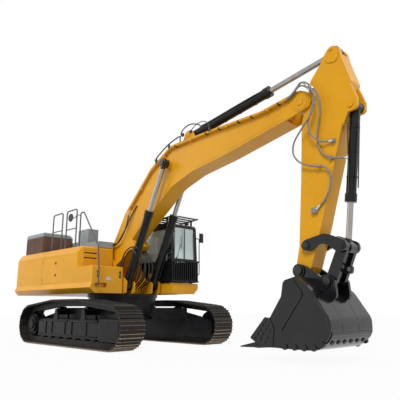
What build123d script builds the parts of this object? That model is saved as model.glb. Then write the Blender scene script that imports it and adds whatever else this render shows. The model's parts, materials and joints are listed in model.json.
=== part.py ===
from build123d import *
import math
import os

# Mining excavator on tracks. Millimetres; +X is the way the cab looks, +Y its left, +Z up.
# Sizes are measured from the swing axis on the ground; swing_x then puts the middle of the
# machine's footprint at the origin.
swing_x = -2140

# Undercarriage
track_gauge = 3440
shoe_width = 780
wheel_spacing = 4744      # sprocket axle to idler axle
link_pitch = 260
pitch_radius = 470        # track pins round the sprocket and the idler
link_half_height = 75
shoe_plate = 22
grouser_height = 38
rail_width = 50
rail_offset = 80          # rail centre from the track's centre line
roller_radius = 115
roller_count = 8
roller_spacing = 500
carrier_radius = 130
carrier_spacing = 1600
carrier_lift = 160        # how far the carriers raise the top run
carrier_gap = 8
frame_width = 440
frame_bottom = 480
frame_top = 780
carbody_bottom = 760
bearing_radius = 1130
bearing_height = 110
running_gap = 10          # between pieces that pass each other
seat_gap = 0.3            # between pieces that rest on each other but move

# House
deck_bottom = 1545
deck_thick = 160
house_half_width = 1850
body_top = 3000
body_inner = 560          # inner wall of the side bodies
body_ledge = 2340         # top of the low boxes at the front
counterweight_front = -2200
counterweight_back = -4300
side_front = 160          # front face of the right body's tall part
toolbox_back = 470
toolbox_front = 1000
toolbox_inner = 740
hood_back = -3980
cooler_front = -2650      # the tall block at the right rear
cooler_inner = -450
cooler_top = 3600
hood_front = -2020        # the low hood over the engine
hood_left = 1450
hood_top = 3370

# Cab
cab_back = -300
cab_front = 1620
cab_inner = 690           # right wall, next to the boom
cab_outer = 1830
cab_floor = 1920
cab_roof = 3850
cab_wall = 60
glass_thick = 8

# Boom: foot pin, nose pin and the box between them
boom_foot = (-220, 2550)
boom_nose = (7330, 5880)
boom_half_width = 290
foot_half_width = 450
foot_radius = 300
nose_radius = 290
boom_pin_radius = 80

# Stick
stick_half_width = 225
stick_tip = (7100, 1920)
stick_ear = (8190, 6930)
guide_pivot = (7300, 2460)
bucket_cylinder_foot = (8560, 5450)
tip_radius = 150

# Bucket and its links
link_pin = (8150, 2370)
bucket_rear_pin = (7800, 1660)
bucket_half_width = 860
bucket_plate = 60

# Cylinders: foot pin, rod pin, distance of the gland from the foot
boom_cylinder_foot = (900, 1780)
boom_cylinder_eye = (2610, 5370)
boom_cylinder_offset = 500
stick_cylinder_foot = (3350, 6170)
pin_radius = 60


def block(x0, x1, y0, y1, z0, z1):
    return Pos((x0 + x1) / 2, (y0 + y1) / 2, (z0 + z1) / 2) * Box(abs(x1 - x0), abs(y1 - y0), abs(z1 - z0))


def rounded_face(points, radii):
    outline = FilletPolyline(points, radius=radii, close=True)
    return make_face(outline)


# A plate standing along the machine: rows are x, z, corner radius
def side_plate(rows, y0, y1):
    face = rounded_face([(x, y0, z) for x, z, r in rows], [r for x, z, r in rows])
    return extrude(face, amount=y1 - y0, dir=(0, 1, 0))


# A shape drawn across the machine: rows are y, z, corner radius
def cross_plate(rows, x0, x1):
    face = rounded_face([(x0, y, z) for y, z, r in rows], [r for y, z, r in rows])
    return extrude(face, amount=x1 - x0, dir=(1, 0, 0))


# A shape drawn from above: rows are x, y, corner radius
def flat_plate(rows, z0, z1):
    face = rounded_face([(x, y, z0) for x, y, r in rows], [r for x, y, r in rows])
    return extrude(face, amount=z1 - z0, dir=(0, 0, 1))


def rod(start, end, radius):
    axis = Vector(*end) - Vector(*start)
    return Solid.make_cylinder(radius, axis.length, Plane(origin=start, z_dir=axis))


def cross_pin(place, y0, y1, radius):
    return rod((place[0], y0, place[1]), (place[0], y1, place[1]), radius)


def between(start, end, distance):
    length = math.dist(start, end)
    return tuple(a + (b - a) * distance / length for a, b in zip(start, end))


def mirrored(piece):
    return mirror(piece, about=Plane.XZ)


def write(name, *pieces):
    solids = [solid for piece in pieces for solid in piece.solids()]
    shape = solids[0] if len(solids) == 1 else Compound(solids)
    export_step(shape.moved(Location((swing_x, 0, 0))), f"parts/{name}.step")


os.makedirs("parts", exist_ok=True)

# Tracks
pin_height = link_half_height + shoe_plate + grouser_height      # of the bottom run's pins
axle_height = pin_height + pitch_radius
rail_top = pin_height + link_half_height
sprocket_x = -wheel_spacing / 2
idler_x = wheel_spacing / 2
carrier_pitch_radius = carrier_radius + link_half_height
carrier_height = axle_height + pitch_radius + carrier_lift - carrier_pitch_radius


# The pin line as a belt round circles (x, z, radius), anticlockwise: tangent lines and arcs
def belt_pieces(circles):
    normals = []
    for (x0, z0, r0), (x1, z1, r1) in zip(circles, circles[1:] + circles[:1]):
        reach = math.dist((x0, z0), (x1, z1))
        normals.append(math.atan2(z1 - z0, x1 - x0) - math.acos((r0 - r1) / reach))
    pieces = []
    for i, (x, z, r) in enumerate(circles):
        first, last = normals[i - 1], normals[i]
        turn = (last - first) % (2 * math.pi)
        pieces.append(("arc", r * turn, (x, z, r), first, turn))
        x1, z1, r1 = circles[(i + 1) % len(circles)]
        start = (x + r * math.cos(last), z + r * math.sin(last))
        end = (x1 + r1 * math.cos(last), z1 + r1 * math.sin(last))
        pieces.append(("line", math.dist(start, end), start, end, 0))
    return pieces


def point_on(pieces, distance):
    for kind, length, a, b, turn in pieces:
        if distance > length:
            distance -= length
            continue
        if kind == "line":
            return between(a, b, distance)
        angle = b + turn * distance / length
        return a[0] + a[2] * math.cos(angle), a[1] + a[2] * math.sin(angle)
    return point_on(pieces, distance % sum(piece[1] for piece in pieces))


belt = belt_pieces([
    (sprocket_x, axle_height, pitch_radius),
    (idler_x, axle_height, pitch_radius),
    (carrier_spacing / 2, carrier_height, carrier_pitch_radius),
    (-carrier_spacing / 2, carrier_height, carrier_pitch_radius)])
belt_length = sum(piece[1] for piece in belt)
shoe_count = round(belt_length / link_pitch)
pins = [point_on(belt, belt_length * i / shoe_count) for i in range(shoe_count)]

# One shoe's outer outline: share of the pitch, height above the pin line
plate_top = link_half_height + shoe_plate
grouser_top = plate_top + grouser_height
shoe_outline = [
    (0.02, plate_top), (0.07, grouser_top), (0.16, plate_top), (0.42, plate_top), (0.50, grouser_top),
    (0.58, plate_top), (0.84, plate_top), (0.93, grouser_top), (0.98, plate_top)]


def beside_belt(i, share, height):
    (x0, z0), (x1, z1) = pins[i], pins[(i + 1) % shoe_count]
    length = math.dist((x0, z0), (x1, z1))
    return (x0 + (x1 - x0) * share + (z1 - z0) / length * height,
            z0 + (z1 - z0) * share - (x1 - x0) / length * height)


# A point beside a pin, on the line that halves the turn between its two links
def beside_pin(i, height):
    before, after = beside_belt(i - 1, 1, height), beside_belt(i, 0, height)
    return (before[0] + after[0]) / 2, (before[1] + after[1]) / 2


def belt_ring(outer, inner_height, y0, y1):
    inner = [beside_pin(i, inner_height) for i in range(shoe_count)]
    ring = make_face(Polyline([(x, y0, z) for x, z in outer], close=True))
    ring -= make_face(Polyline([(x, y0, z) for x, z in inner], close=True))
    return extrude(ring, amount=y1 - y0, dir=(0, 1, 0))


def track(side):
    middle = side * track_gauge / 2
    shoes = [beside_belt(i, share, height) for i in range(shoe_count) for share, height in shoe_outline]
    loop = belt_ring(shoes, link_half_height, middle - shoe_width / 2, middle + shoe_width / 2)
    rail_outer = [beside_pin(i, link_half_height + shoe_plate / 2) for i in range(shoe_count)]
    for offset in (-rail_offset, rail_offset):
        y = middle + offset
        loop += belt_ring(rail_outer, -link_half_height, y - rail_width / 2, y + rail_width / 2)
    return loop


write("track_right", track(-1))
write("track_left", track(1))


# Wheels of one track, about its centre line
def toothed_sprocket(y0, y1):
    teeth = 23
    root, tip = pitch_radius - 40, pitch_radius + 15
    rows = []
    for i in range(teeth):
        # share of a tooth's turn, radius
        for share, radius in ((0.0, root), (0.25, root), (0.42, tip), (0.58, tip), (0.75, root)):
            angle = 2 * math.pi * (i + share) / teeth
            rows.append((sprocket_x + radius * math.cos(angle), y0, axle_height + radius * math.sin(angle)))
    return extrude(make_face(Polyline(rows, close=True)), amount=y1 - y0, dir=(0, 1, 0))


def final_drive(side):
    middle = side * track_gauge / 2
    wheel = toothed_sprocket(middle - 25, middle + 25)
    # from, to (distance outwards from the track's centre), radius
    for near, far, radius in ((-frame_width / 2 + 60, 0, 300), (0, 150, 330), (150, 210, 250), (210, 250, 150)):
        wheel += cross_pin((sprocket_x, axle_height), middle + side * near, middle + side * far, radius)
    return wheel


def idler(side):
    middle = side * track_gauge / 2
    centre = (idler_x, axle_height)
    tread = (pitch_radius - link_half_height) * math.cos(link_pitch / pitch_radius / 2) - 2
    wheel = cross_pin(centre, middle - 105, middle + 105, tread)
    wheel += cross_pin(centre, middle - 50, middle + 50, tread + 40)
    wheel += cross_pin(centre, middle - 130, middle + 130, 120)
    return wheel + cross_pin(centre, middle - 160, middle + 160, 60)


def rollers(side):
    middle = side * track_gauge / 2
    pieces = []
    centre_z = rail_top + roller_radius + seat_gap
    for i in range(roller_count):
        x = (i - (roller_count - 1) / 2) * roller_spacing
        wheel = cross_pin((x, centre_z), middle - 130, middle + 130, roller_radius)
        for y in (-130, 110):
            wheel += cross_pin((x, centre_z), middle + y, middle + y + 20, roller_radius + 25)
        pieces.append(wheel + cross_pin((x, centre_z), middle - 150, middle + 150, 45))
    for x in (-carrier_spacing / 2, carrier_spacing / 2):
        wheel = cross_pin((x, carrier_height), middle - 120, middle + 120, carrier_radius - carrier_gap)
        pieces.append(wheel + cross_pin((x, carrier_height), middle - 150, middle + 150, 45))
    return pieces


# Track frame: a beam over the rollers with cheeks down beside them, a yoke at the idler
def track_frame(side):
    middle = side * track_gauge / 2
    half = frame_width / 2
    back, front = sprocket_x + pitch_radius + 60, idler_x - pitch_radius - 60
    beam_rows = [
        (back, frame_bottom, 0), (front, frame_bottom, 0), (front, frame_top - 90, 60),
        (front - 260, frame_top, 60), (back + 200, frame_top, 60), (back, frame_top - 60, 60)]
    frame = side_plate(beam_rows, middle - half, middle + half)
    cheek_bottom = rail_top + 60
    for y in (-half, 150):
        frame += block(back, front, middle + y, middle + y + half - 150, cheek_bottom, frame_bottom)
    for y in (-half, 160):
        arm = side_plate([
            (front - 100, frame_bottom - 60, 0), (idler_x + 90, axle_height - 110, 60),
            (idler_x + 90, axle_height + 110, 60), (front - 100, frame_top - 90, 0)],
            middle + y, middle + y + half - 160)
        frame += arm
    for x in (-carrier_spacing / 2, carrier_spacing / 2):
        for y in (-200, 150):
            post = side_plate([
                (x - 130, frame_top - 20, 0), (x + 130, frame_top - 20, 0),
                (x + 60, carrier_height + 60, 50), (x - 60, carrier_height + 60, 50)],
                middle + y, middle + y + 50)
            frame += post
    inner_panel = [
        (-2600, 220, 100), (2600, 220, 100), (2650, 690, 120), (2100, 860, 100), (900, 1080, 200), (-900, 1080, 200),
        (-2100, 860, 100), (-2650, 690, 120)]
    frame += side_plate(inner_panel, middle - side * half, middle - side * (half - 40))
    cover = side_plate([
        (front - 120, 210, 60), (idler_x + 330, 210, 120), (idler_x + 330, axle_height + 225, 120),
        (front - 120, axle_height + 225, 60)], middle + side * 160, middle + side * 265)
    outer_face = cover.faces().sort_by(Axis.Y)[0 if side < 0 else -1]
    frame += fillet(outer_face.edges(), 45)
    near, far = sorted((middle - side * half, middle - side * (half - 60)))
    rear_arm = side_plate([
        (back + 10, frame_bottom, 0), (back + 10, frame_top - 60, 0), (sprocket_x - 200, axle_height + 300, 200),
        (sprocket_x - 310, axle_height, 200), (sprocket_x - 200, axle_height - 300, 200)], near, far)
    return frame + rear_arm


for name, side in (("right", -1), ("left", 1)):
    write(f"track_frame_{name}", track_frame(side))
write("final_drives", final_drive(-1), final_drive(1))
write("idlers", idler(-1), idler(1))
write("track_rollers", *rollers(-1), *rollers(1))


# Carbody: a drum for the swing bearing on four legs that reach the track frames
def carbody():
    bearing_bottom = deck_bottom - seat_gap - bearing_height
    inner_side = track_gauge / 2 - frame_width / 2
    drum = Pos(0, 0, (carbody_bottom + bearing_bottom) / 2) * Cylinder(
        bearing_radius - 40, bearing_bottom - carbody_bottom)
    body = drum
    for sx in (-1, 1):
        for sy in (-1, 1):
            leg_plan = [
                (sx * 150, sy * 300), (sx * 900, sy * 300), (sx * 1500, sy * inner_side),
                (sx * 700, sy * inner_side)]
            leg = extrude(make_face(Polyline([(x, y, carbody_bottom) for x, y in leg_plan], close=True)),
                          amount=360, dir=(0, 0, 1))
            body += leg
    return body


# Tow eyes: flat lugs with an upright pin bore, ahead of and behind the drum
tow_reach = 1187.5        # bore from the swing axis
tow_bore = 45
tow_half_width = 95
tow_thick = 80
tow_height = 860


def tow_eye(side, y):
    root = side * (bearing_radius - 200)
    tip = side * (tow_reach + tow_half_width)
    eye = flat_plate([
        (root, y - tow_half_width, 0), (tip, y - tow_half_width, tow_half_width - 1),
        (tip, y + tow_half_width, tow_half_width - 1), (root, y + tow_half_width, 0)],
        tow_height, tow_height + tow_thick)
    bore_x = side * tow_reach
    return eye - rod((bore_x, y, tow_height - 1), (bore_x, y, tow_height + tow_thick + 1), tow_bore)


tow_eyes = [tow_eye(side, y) for side in (-1, 1) for y in (-260, 260)]
write("carbody", carbody() + tow_eyes)
ring = Pos(0, 0, deck_bottom - seat_gap - bearing_height / 2) * (
    Cylinder(bearing_radius, bearing_height) - Cylinder(bearing_radius - 150, bearing_height))
write("swing_bearing", ring)


# House frame: deck, boom foot plates, cylinder lugs, left platform under the cab
girder_inner = foot_half_width + 10
girder_outer = girder_inner + 60
lug_gap = 130             # half the room between a cylinder's lugs


def house_frame():
    deck_top = deck_bottom + deck_thick
    frame = flat_plate([
        (-3100, -1470, 0), (-3100, 1470, 0), (1050, 1470, 0), (1050, 760, 0), (620, 760, 0),
        (620, -735, 0), (400, -735, 0), (400, -1470, 0)], deck_bottom, deck_top)
    platform_rows = [
        (740, deck_bottom + 15, 0), (1700, deck_bottom + 15, 0), (house_half_width + 20, deck_bottom + 180, 0),
        (house_half_width + 20, cab_floor - 30, 40), (740, cab_floor - 30, 0)]
    frame += cross_plate(platform_rows, cab_back - 60, cab_front)
    foot_x, foot_z = boom_foot
    for side in (-1, 1):
        girder = side_plate([
            (-1700, deck_top - 20, 0), (620, deck_top - 20, 0), (600, 1980, 60), (foot_x + 330, foot_z + 60, 120),
            (foot_x + 160, foot_z + 260, 200), (foot_x - 230, foot_z + 250, 200), (-1250, 1950, 80)],
            girder_inner, girder_outer)
        lugs = Part()
        for y0, y1, top in ((boom_cylinder_offset - lug_gap - 50, boom_cylinder_offset - lug_gap, 2000),
                            (boom_cylinder_offset + lug_gap, boom_cylinder_offset + lug_gap + 50, 2230)):
            lugs += side_plate([
                (560, deck_bottom, 0), (1080, deck_bottom, 60), (1110, 1900, 90), (700, top, 60), (560, top, 60)],
                y0, y1)
        pair = girder + lugs
        frame += pair if side > 0 else mirrored(pair)
    frame += cross_pin(boom_foot, -girder_outer - 40, girder_outer + 40, boom_pin_radius)
    for x in (cab_back + 150, cab_front - 150):
        for y in (cab_inner + 150, cab_outer - 150):
            frame += rod((x, y, cab_floor - 40), (x, y, cab_floor), 60)
    for side in (-1, 1):
        y0 = side * (boom_cylinder_offset - lug_gap - 50)
        y1 = side * (boom_cylinder_offset + lug_gap + 70)
        frame += cross_pin(boom_cylinder_foot, y0, y1, pin_radius)
    return frame


write("house_frame", house_frame())


# Cross-section of the tall side bodies (outwards, z, corner radius): bevelled top, skirt below
side_section = [
    (body_inner, deck_bottom + deck_thick, 0), (1480, deck_bottom + deck_thick, 0), (1480, deck_bottom, 0),
    (house_half_width - 150, deck_bottom, 0), (house_half_width + 20, 1700, 0), (house_half_width - 50, 1850, 0),
    (house_half_width - 50, 2800, 40), (house_half_width - 210, body_top, 0), (body_inner, body_top, 0)]


def counterweight():
    cross_section = []
    for side in (-1, 1):
        rows = [
            (side * (house_half_width - 150), deck_bottom, 0), (side * (house_half_width + 20), 1700, 0),
            (side * (house_half_width - 50), 1850, 0), (side * (house_half_width - 50), 2800, 40),
            (side * (house_half_width - 210), body_top, 0)]
        cross_section += rows if side > 0 else rows[::-1]
    back = counterweight_back
    body = cross_plate(cross_section, back - 200, counterweight_front)
    body &= side_plate([
        (counterweight_front, deck_bottom, 0), (back + 180, deck_bottom, 60), (back - 20, 1720, 60),
        (back - 50, 2780, 60), (back + 180, body_top, 60), (counterweight_front, body_top, 0)],
        -house_half_width - 100, house_half_width + 100)
    wide = house_half_width + 100
    body &= flat_plate([
        (counterweight_front, -wide, 0), (back + 250, -wide, 0), (back + 60, -1500, 300), (back - 60, 0, 2500),
        (back + 60, 1500, 300), (back + 250, wide, 0), (counterweight_front, wide, 0)], deck_bottom - 100, body_top + 100)
    engine_room = block(-3150, counterweight_front + 1, -1480, 1480, deck_bottom - 50, body_top + 50)
    return body - engine_room


write("counterweight", counterweight())


def side_body(side, back, front):
    rows = [(side * y, z, r) for y, z, r in side_section]
    return cross_plate(rows, back, front)


# Service doors: a flush panel over a bay in the body's side
door_thick = 40
door_edge = 5             # gap round a door
door_bottom = 1890
door_top = 2750
side_face = house_half_width - 50
bay_depth = 420
service_doors = [("right", -1, -2150, -1150), ("left", 1, -2150, -1150)]


def service_door(side, x0, x1, edge):
    y0, y1 = sorted((side * (side_face - door_thick - edge), side * side_face))
    return block(x0 - edge, x1 + edge, y0, y1, door_bottom - edge, door_top + edge)


def service_bay(side, x0, x1):
    y0, y1 = sorted((side * (side_face - bay_depth), side * (side_face + 10)))
    return block(x0 + 40, x1 - 40, y0, y1, door_bottom + 40, door_top - 40)


# Hinge knuckles on a door's back edge: the pin line stands off the wall by the knuckle's radius
def knuckles(x, side, wall_y, radius, heights):
    pieces = Part()
    pin_y = side * (wall_y + radius)
    y0, y1 = sorted((side * wall_y, side * (wall_y + radius / 2)))
    for z in heights:
        pieces += rod((x, pin_y, z), (x, pin_y, z + 90), radius - seat_gap)
        pieces += block(x, x + 5 * radius, y0, y1, z, z + 90)
    return pieces


# The same on a lid's back edge: the pin lies across the machine at (x, z), the leaf runs forwards from it
def lid_knuckles(x, z, ahead, places):
    pieces = Part()
    for y in places:
        pieces += rod((x, y, z), (x, y + 120, z), lid_knuckle - seat_gap)
        if ahead:
            pieces += block(x, x + 70, y, y + 120, z - lid_knuckle, z - lid_knuckle / 2)
        else:
            pieces += block(x + lid_knuckle / 2, x + lid_knuckle, y, y + 120, z - lid_knuckle, z + 40)
    return pieces


lid_knuckle = 14
service_knuckle = 12
for name, side, x0, x1 in service_doors:
    hinges = knuckles(x0 - door_edge, side, side_face, service_knuckle, (door_bottom + 100, door_top - 190))
    write(f"{name}_service_door", service_door(side, x0, x1, 0) + hinges)


# The right body's tall part has a rounded front corner, and a low part runs on below the ledge
def right_body():
    back = counterweight_front + running_gap
    tall = side_body(-1, back, side_front)
    name, side, x0, x1 = service_doors[0]
    tall -= service_door(side, x0, x1, door_edge) + service_bay(side, x0, x1)
    wide = house_half_width + 100
    tall &= flat_plate([
        (back, -wide, 0), (side_front - 120, -wide, 0), (side_front, -house_half_width + 220, 60), (side_front, 0, 0),
        (back, 0, 0)], deck_bottom - 100, body_top + 100)
    bevel = 60
    tall &= side_plate([
        (back, deck_bottom - 50, 0), (side_front + 1, deck_bottom - 50, 0), (side_front + 1, body_top - bevel, 0),
        (side_front - bevel, body_top + 1, 0), (back, body_top + 1, 0)], -wide, 0)
    for slot_bottom in (2615, 2770):
        tall -= block(side_front - 45, side_front + 1, -1620, -1150, slot_bottom, slot_bottom + 38)
    low = side_body(-1, side_front - 400, toolbox_back)
    low &= block(side_front - 500, toolbox_back + 100, -wide, -toolbox_inner, deck_bottom - 100, body_ledge)
    return tall + low


write("right_body", right_body())


def left_body():
    name, side, x0, x1 = service_doors[1]
    body = side_body(1, counterweight_front + running_gap, cab_back - 120)
    return body - service_door(side, x0, x1, door_edge) - service_bay(side, x0, x1)


write("left_body", left_body())

# Toolbox at the right front corner: a box and its lid
lid_height = 240
lid_seam = body_ledge - lid_height
toolbox_rows = [
    (-toolbox_inner, deck_bottom, 0), (-house_half_width + 150, deck_bottom, 0),
    (-house_half_width - 20, 1700, 0), (-house_half_width + 50, 1850, 0), (-house_half_width + 50, lid_seam, 0),
    (-toolbox_inner, lid_seam, 0)]
toolbox = cross_plate(toolbox_rows, toolbox_back, toolbox_front)
toolbox -= block(toolbox_back + 45, toolbox_front - 40, -house_half_width + 90, -toolbox_inner - 40, 1860, lid_seam + 1)
toolbox -= block(toolbox_front - 110, toolbox_front + 1, -house_half_width + 160, -house_half_width + 560, 1705, 1840)
write("toolbox", toolbox)
lid = side_plate([
    (toolbox_back + seat_gap, lid_seam + seat_gap, 0), (toolbox_front, lid_seam + seat_gap, 0),
    (toolbox_front, body_ledge, 45), (toolbox_back + seat_gap, body_ledge, 0)], -house_half_width + 50, -toolbox_inner)
lid -= block(toolbox_back + 45, toolbox_front - 40, -house_half_width + 90, -toolbox_inner - 40, lid_seam, body_ledge - 40)
lid += lid_knuckles(toolbox_back, body_ledge + lid_knuckle, 1, (-1600, -900))
write("toolbox_lid", lid)

# Tall cooler block at the right rear and the low engine hood beside it: walls with a lid on each
def hood_walls(x0, x1, y0, y1, top):
    wall = 50
    return (block(x0, x1, y0, y1, body_top, top)
            - block(x0 + wall, x1 - wall, y0 + wall, y1 - wall, body_top - 1, top + 1))


def hood_cover(x0, x1, y0, y1, top, height):
    return side_plate([
        (x0, top + seat_gap, 0), (x1, top + seat_gap, 0), (x1, top + height - 40, 0), (x1 - 60, top + height, 40),
        (x0 + 60, top + height, 40), (x0, top + height - 40, 0)], y0, y1)


write("cooler_block", hood_walls(hood_back, cooler_front, -1600, cooler_inner - 10, cooler_top))
cooler_height = 140
cooler_lid = hood_cover(hood_back, cooler_front, -1600, cooler_inner - 10, cooler_top, cooler_height)
cooler_lid &= cross_plate([
    (-1600, cooler_top, 0), (cooler_inner - 10, cooler_top, 0), (cooler_inner - 10, cooler_top + 20, 0),
    (cooler_inner - 160, cooler_top + cooler_height, 40), (-1600, cooler_top + cooler_height, 50)],
    hood_back - 1, cooler_front + 1)
cooler_lid += lid_knuckles(hood_back - lid_knuckle, cooler_top + 30, 0, (-1450, -700))
write("cooler_lid", cooler_lid)
write("engine_hood", hood_walls(hood_back, hood_front, cooler_inner, hood_left, hood_top))
engine_lid = hood_cover(hood_back, hood_front, cooler_inner, hood_left, hood_top, 80)
engine_lid += lid_knuckles(hood_back - lid_knuckle, hood_top + 30, 0, (-200, 1100))
write("engine_lid", engine_lid)
write("engine", block(-3080, -2260, -900, 900, deck_bottom + deck_thick, 2850))
write("air_cleaner", block(-1310, -670, -1000, -620, body_top, 3700))
write("top_deck", block(-650, side_front - 30, -1100, -body_inner, body_top, 3200))


# Handrails: rows of x, z for each bent tube, at one distance from the middle
rail_radius = 22
rail_rows = [
    [(-1970, body_top), (-1970, 4230), (-1330, 4240), (-1330, body_top)],
    [(-1050, body_top), (-1050, 4240), (-410, 4250), (-410, body_top)]]
mid_bars = [(-1970, -1330, 3640), (-1050, -410, 3620)]
rail_y = house_half_width - 240


def bent_tube(points, radius, bend):
    path = FilletPolyline(points, radius=bend)
    start = Plane(origin=points[0], z_dir=Vector(*points[1]) - Vector(*points[0]))
    return sweep(start * Circle(radius), path=path)


def handrails(side):
    rails = Part()
    for rows in rail_rows:
        rails += bent_tube([(x, side * rail_y, z) for x, z in rows], rail_radius, 90)
    for x0, x1, z in mid_bars:
        rails += rod((x0, side * rail_y, z), (x1, side * rail_y, z), rail_radius - 4)
    return rails


boarding_rail = bent_tube([
    (-170, -rail_y, body_top), (-170, -rail_y, 4080), (20, -rail_y, 4090), (830, -rail_y - 40, 3140),
    (1090, -rail_y - 90, 2890), (1180, -rail_y - 90, 2200), (1180, -rail_y - 90, 1780),
    (toolbox_front, -rail_y - 90, 1780)], rail_radius, 70)
boarding_rail += bent_tube([
    (-170, -rail_y, 4000), (-400, -rail_y, 4050), (-560, -rail_y, 3960), (-560, -rail_y - 120, 3960)], 14, 50)
write("handrails_right", handrails(-1), boarding_rail)
write("handrails_left", handrails(1))


# Cab: a hollow shell with windows in every side
def cab_shell():
    side_rows = [
        (cab_back, cab_floor, 60), (cab_front, cab_floor, 60), (cab_front, 2650, 0), (cab_front - 60, cab_roof, 160),
        (cab_back, cab_roof, 120)]
    shell = side_plate(side_rows, cab_inner, cab_outer)
    t = cab_wall
    hollow_rows = [
        (cab_back + t, cab_floor + t, 30), (cab_front - t, cab_floor + t, 30), (cab_front - t, 2650, 0),
        (cab_front - 60 - t, cab_roof - t, 120), (cab_back + t, cab_roof - t, 80)]
    shell -= side_plate(hollow_rows, cab_inner + t, cab_outer - t)
    window_bottom, window_top = 2680, 3640
    shell -= block(cab_front - 200, cab_front + 100, cab_inner + 120, cab_outer - 120, window_bottom, window_top + 70)
    shell -= block(cab_front - 200, cab_front + 100, cab_inner + 120, cab_outer - 120, 2050, 2600)
    shell -= block(cab_back - 50, cab_back + 100, cab_inner + 150, cab_outer - 150, 2800, window_top)
    shell -= side_plate([
        (cab_back + 160, 2600, 60), (cab_front - 190, 2600, 60), (cab_front - 230, window_top, 80),
        (cab_back + 160, window_top, 80)], cab_inner - 10, cab_inner + t + 10)
    shell -= side_plate(door_rows(0), cab_outer - t - 10, cab_outer + 10)
    shell -= side_plate([
        (cab_back + 120, 2700, 60), (door_back - 90, 2700, 60), (door_back - 90, window_top, 60),
        (cab_back + 120, window_top, 60)], cab_outer - t - 10, cab_outer + 10)
    return shell


door_back = 420
door_front = 1400


def door_rows(inset):
    return [
        (door_back + inset, cab_floor + 60 + inset, 60), (door_front - inset, cab_floor + 60 + inset, 60),
        (door_front - inset - 40, 3700 - inset, 90), (door_back + inset, 3700 - inset, 90)]


write("cab_shell", cab_shell())
door_gap = 6
door = side_plate(door_rows(door_gap), cab_outer - cab_wall, cab_outer)
window = side_plate([
    (door_back + 90, 2640, 60), (door_front - 110, 2640, 60), (door_front - 140, 3610, 80), (door_back + 90, 3610, 80)],
    cab_outer - cab_wall - 10, cab_outer + 10)
cab_knuckle = 20
door += knuckles(door_back, 1, cab_outer, cab_knuckle, (2150, 3350))
write("cab_door", door - window)
write("door_glass", side_plate([
    (door_back + 90, 2640, 60), (door_front - 110, 2640, 60), (door_front - 140, 3610, 80), (door_back + 90, 3610, 80)],
    cab_outer - 34, cab_outer - 34 + glass_thick))


def cab_glass():
    t = glass_thick
    y0, y1 = cab_inner + 120, cab_outer - 120
    panes = [
        side_plate([(cab_front - 30, 2680, 0), (cab_front - 30 + t, 2680, 0), (cab_front - 80 + t, 3710, 0),
                    (cab_front - 80, 3710, 0)], y0, y1),
        block(cab_back + 26, cab_back + 26 + t, cab_inner + 150, cab_outer - 150, 2800, 3640),
        side_plate([(cab_back + 160, 2600, 60), (cab_front - 190, 2600, 60), (cab_front - 230, 3640, 80),
                    (cab_back + 160, 3640, 80)], cab_inner + 26, cab_inner + 26 + t),
        side_plate([(cab_back + 120, 2700, 60), (door_back - 90, 2700, 60), (door_back - 90, 3640, 60),
                    (cab_back + 120, 3640, 60)], cab_outer - 34, cab_outer - 34 + t)]
    return panes


write("cab_glass", *cab_glass())


def front_guard():
    x = cab_front + 20
    guard = block(x, x + 30, cab_inner - 20, cab_outer + 30, 2580, 2640)
    guard += block(x, x + 30, cab_inner - 20, cab_outer + 30, cab_floor + 10, cab_floor + 60)
    slats = 13
    for i in range(slats):
        y = cab_inner + (cab_outer - cab_inner - 30) * i / (slats - 1)
        guard += block(x, x + 30, y, y + 30, cab_floor + 10, 2600)
    for y in (cab_inner + 100, cab_outer - 130):
        guard += block(cab_front, x + 10, y, y + 30, 2590, 2630)
        guard += block(cab_front, x + 10, y, y + 30, cab_floor + 15, cab_floor + 55)
    return guard


write("cab_front_guard", front_guard())


def roof_guard():
    z = cab_roof
    guard = Part()
    for y in (cab_inner + 10, cab_outer - 50):
        guard += side_plate([
            (cab_back + 100, z + 40, 0), (cab_front + 60, z + 190, 0), (cab_front + 60, z + 240, 0),
            (cab_back + 100, z + 90, 0)], y, y + 40)
        for x in (cab_back + 200, cab_front - 300):
            guard += block(x, x + 60, y, y + 40, z, z + 40 + 150 * (x - cab_back) / (cab_front - cab_back))
    slats = 9
    for i in range(slats):
        x = cab_back + 110 + (cab_front - cab_back - 110) * i / (slats - 1)
        lift = z + 45 + 150 * (x - cab_back - 100) / (cab_front - cab_back)
        guard += block(x, x + 50, cab_inner + 10, cab_outer - 10, lift, lift + 40)
    return guard


# Two work lamps on the roof behind its front edge, each on a stem
def roof_lamps():
    lamps = Part()
    for y in (cab_inner + 160, cab_outer - 280):
        lamps += block(cab_front - 330, cab_front - 240, y, y + 120, cab_roof + 30, cab_roof + 110)
        lamps += block(cab_front - 300, cab_front - 270, y + 45, y + 75, cab_roof, cab_roof + 40)
    return lamps


write("cab_roof_guard", roof_guard() + roof_lamps())


# The consoles stand off the cab's walls, and the seat fits between them
console_gap = 70
console_half = 70
seat_clearance = 40
cab_middle = (cab_inner + cab_outer) / 2
console_offset = (cab_outer - cab_inner) / 2 - cab_wall - console_gap - console_half
seat_half = console_offset - console_half - seat_clearance
seat_base_top = 2300
cushion_top = 2430


def seat():
    base = block(450, 850, cab_middle - seat_half + 60, cab_middle + seat_half - 60, cab_floor + cab_wall, seat_base_top)
    low, high = seat_base_top + seat_gap, cushion_top
    cushion = side_plate(
        [(400, low, 10), (960, low, 60), (960, high, 60), (400, high, 10)], cab_middle - seat_half, cab_middle + seat_half)
    low, high = cushion_top + seat_gap, 3050
    back = side_plate(
        [(330, low, 40), (470, low, 40), (400, high, 50), (270, high, 50)],
        cab_middle - seat_half + 20, cab_middle + seat_half - 20)
    return base, cushion, back


write("seat", *seat())


def console():
    pieces = Part()
    for side in (-1, 1):
        y = cab_middle + side * console_offset
        pieces += block(480, 960, y - console_half, y + console_half, cab_floor + cab_wall, 2560)
        pieces += rod((900, y, 2540), (940, y, 2760), 18)
    return pieces


write("console", console())


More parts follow.
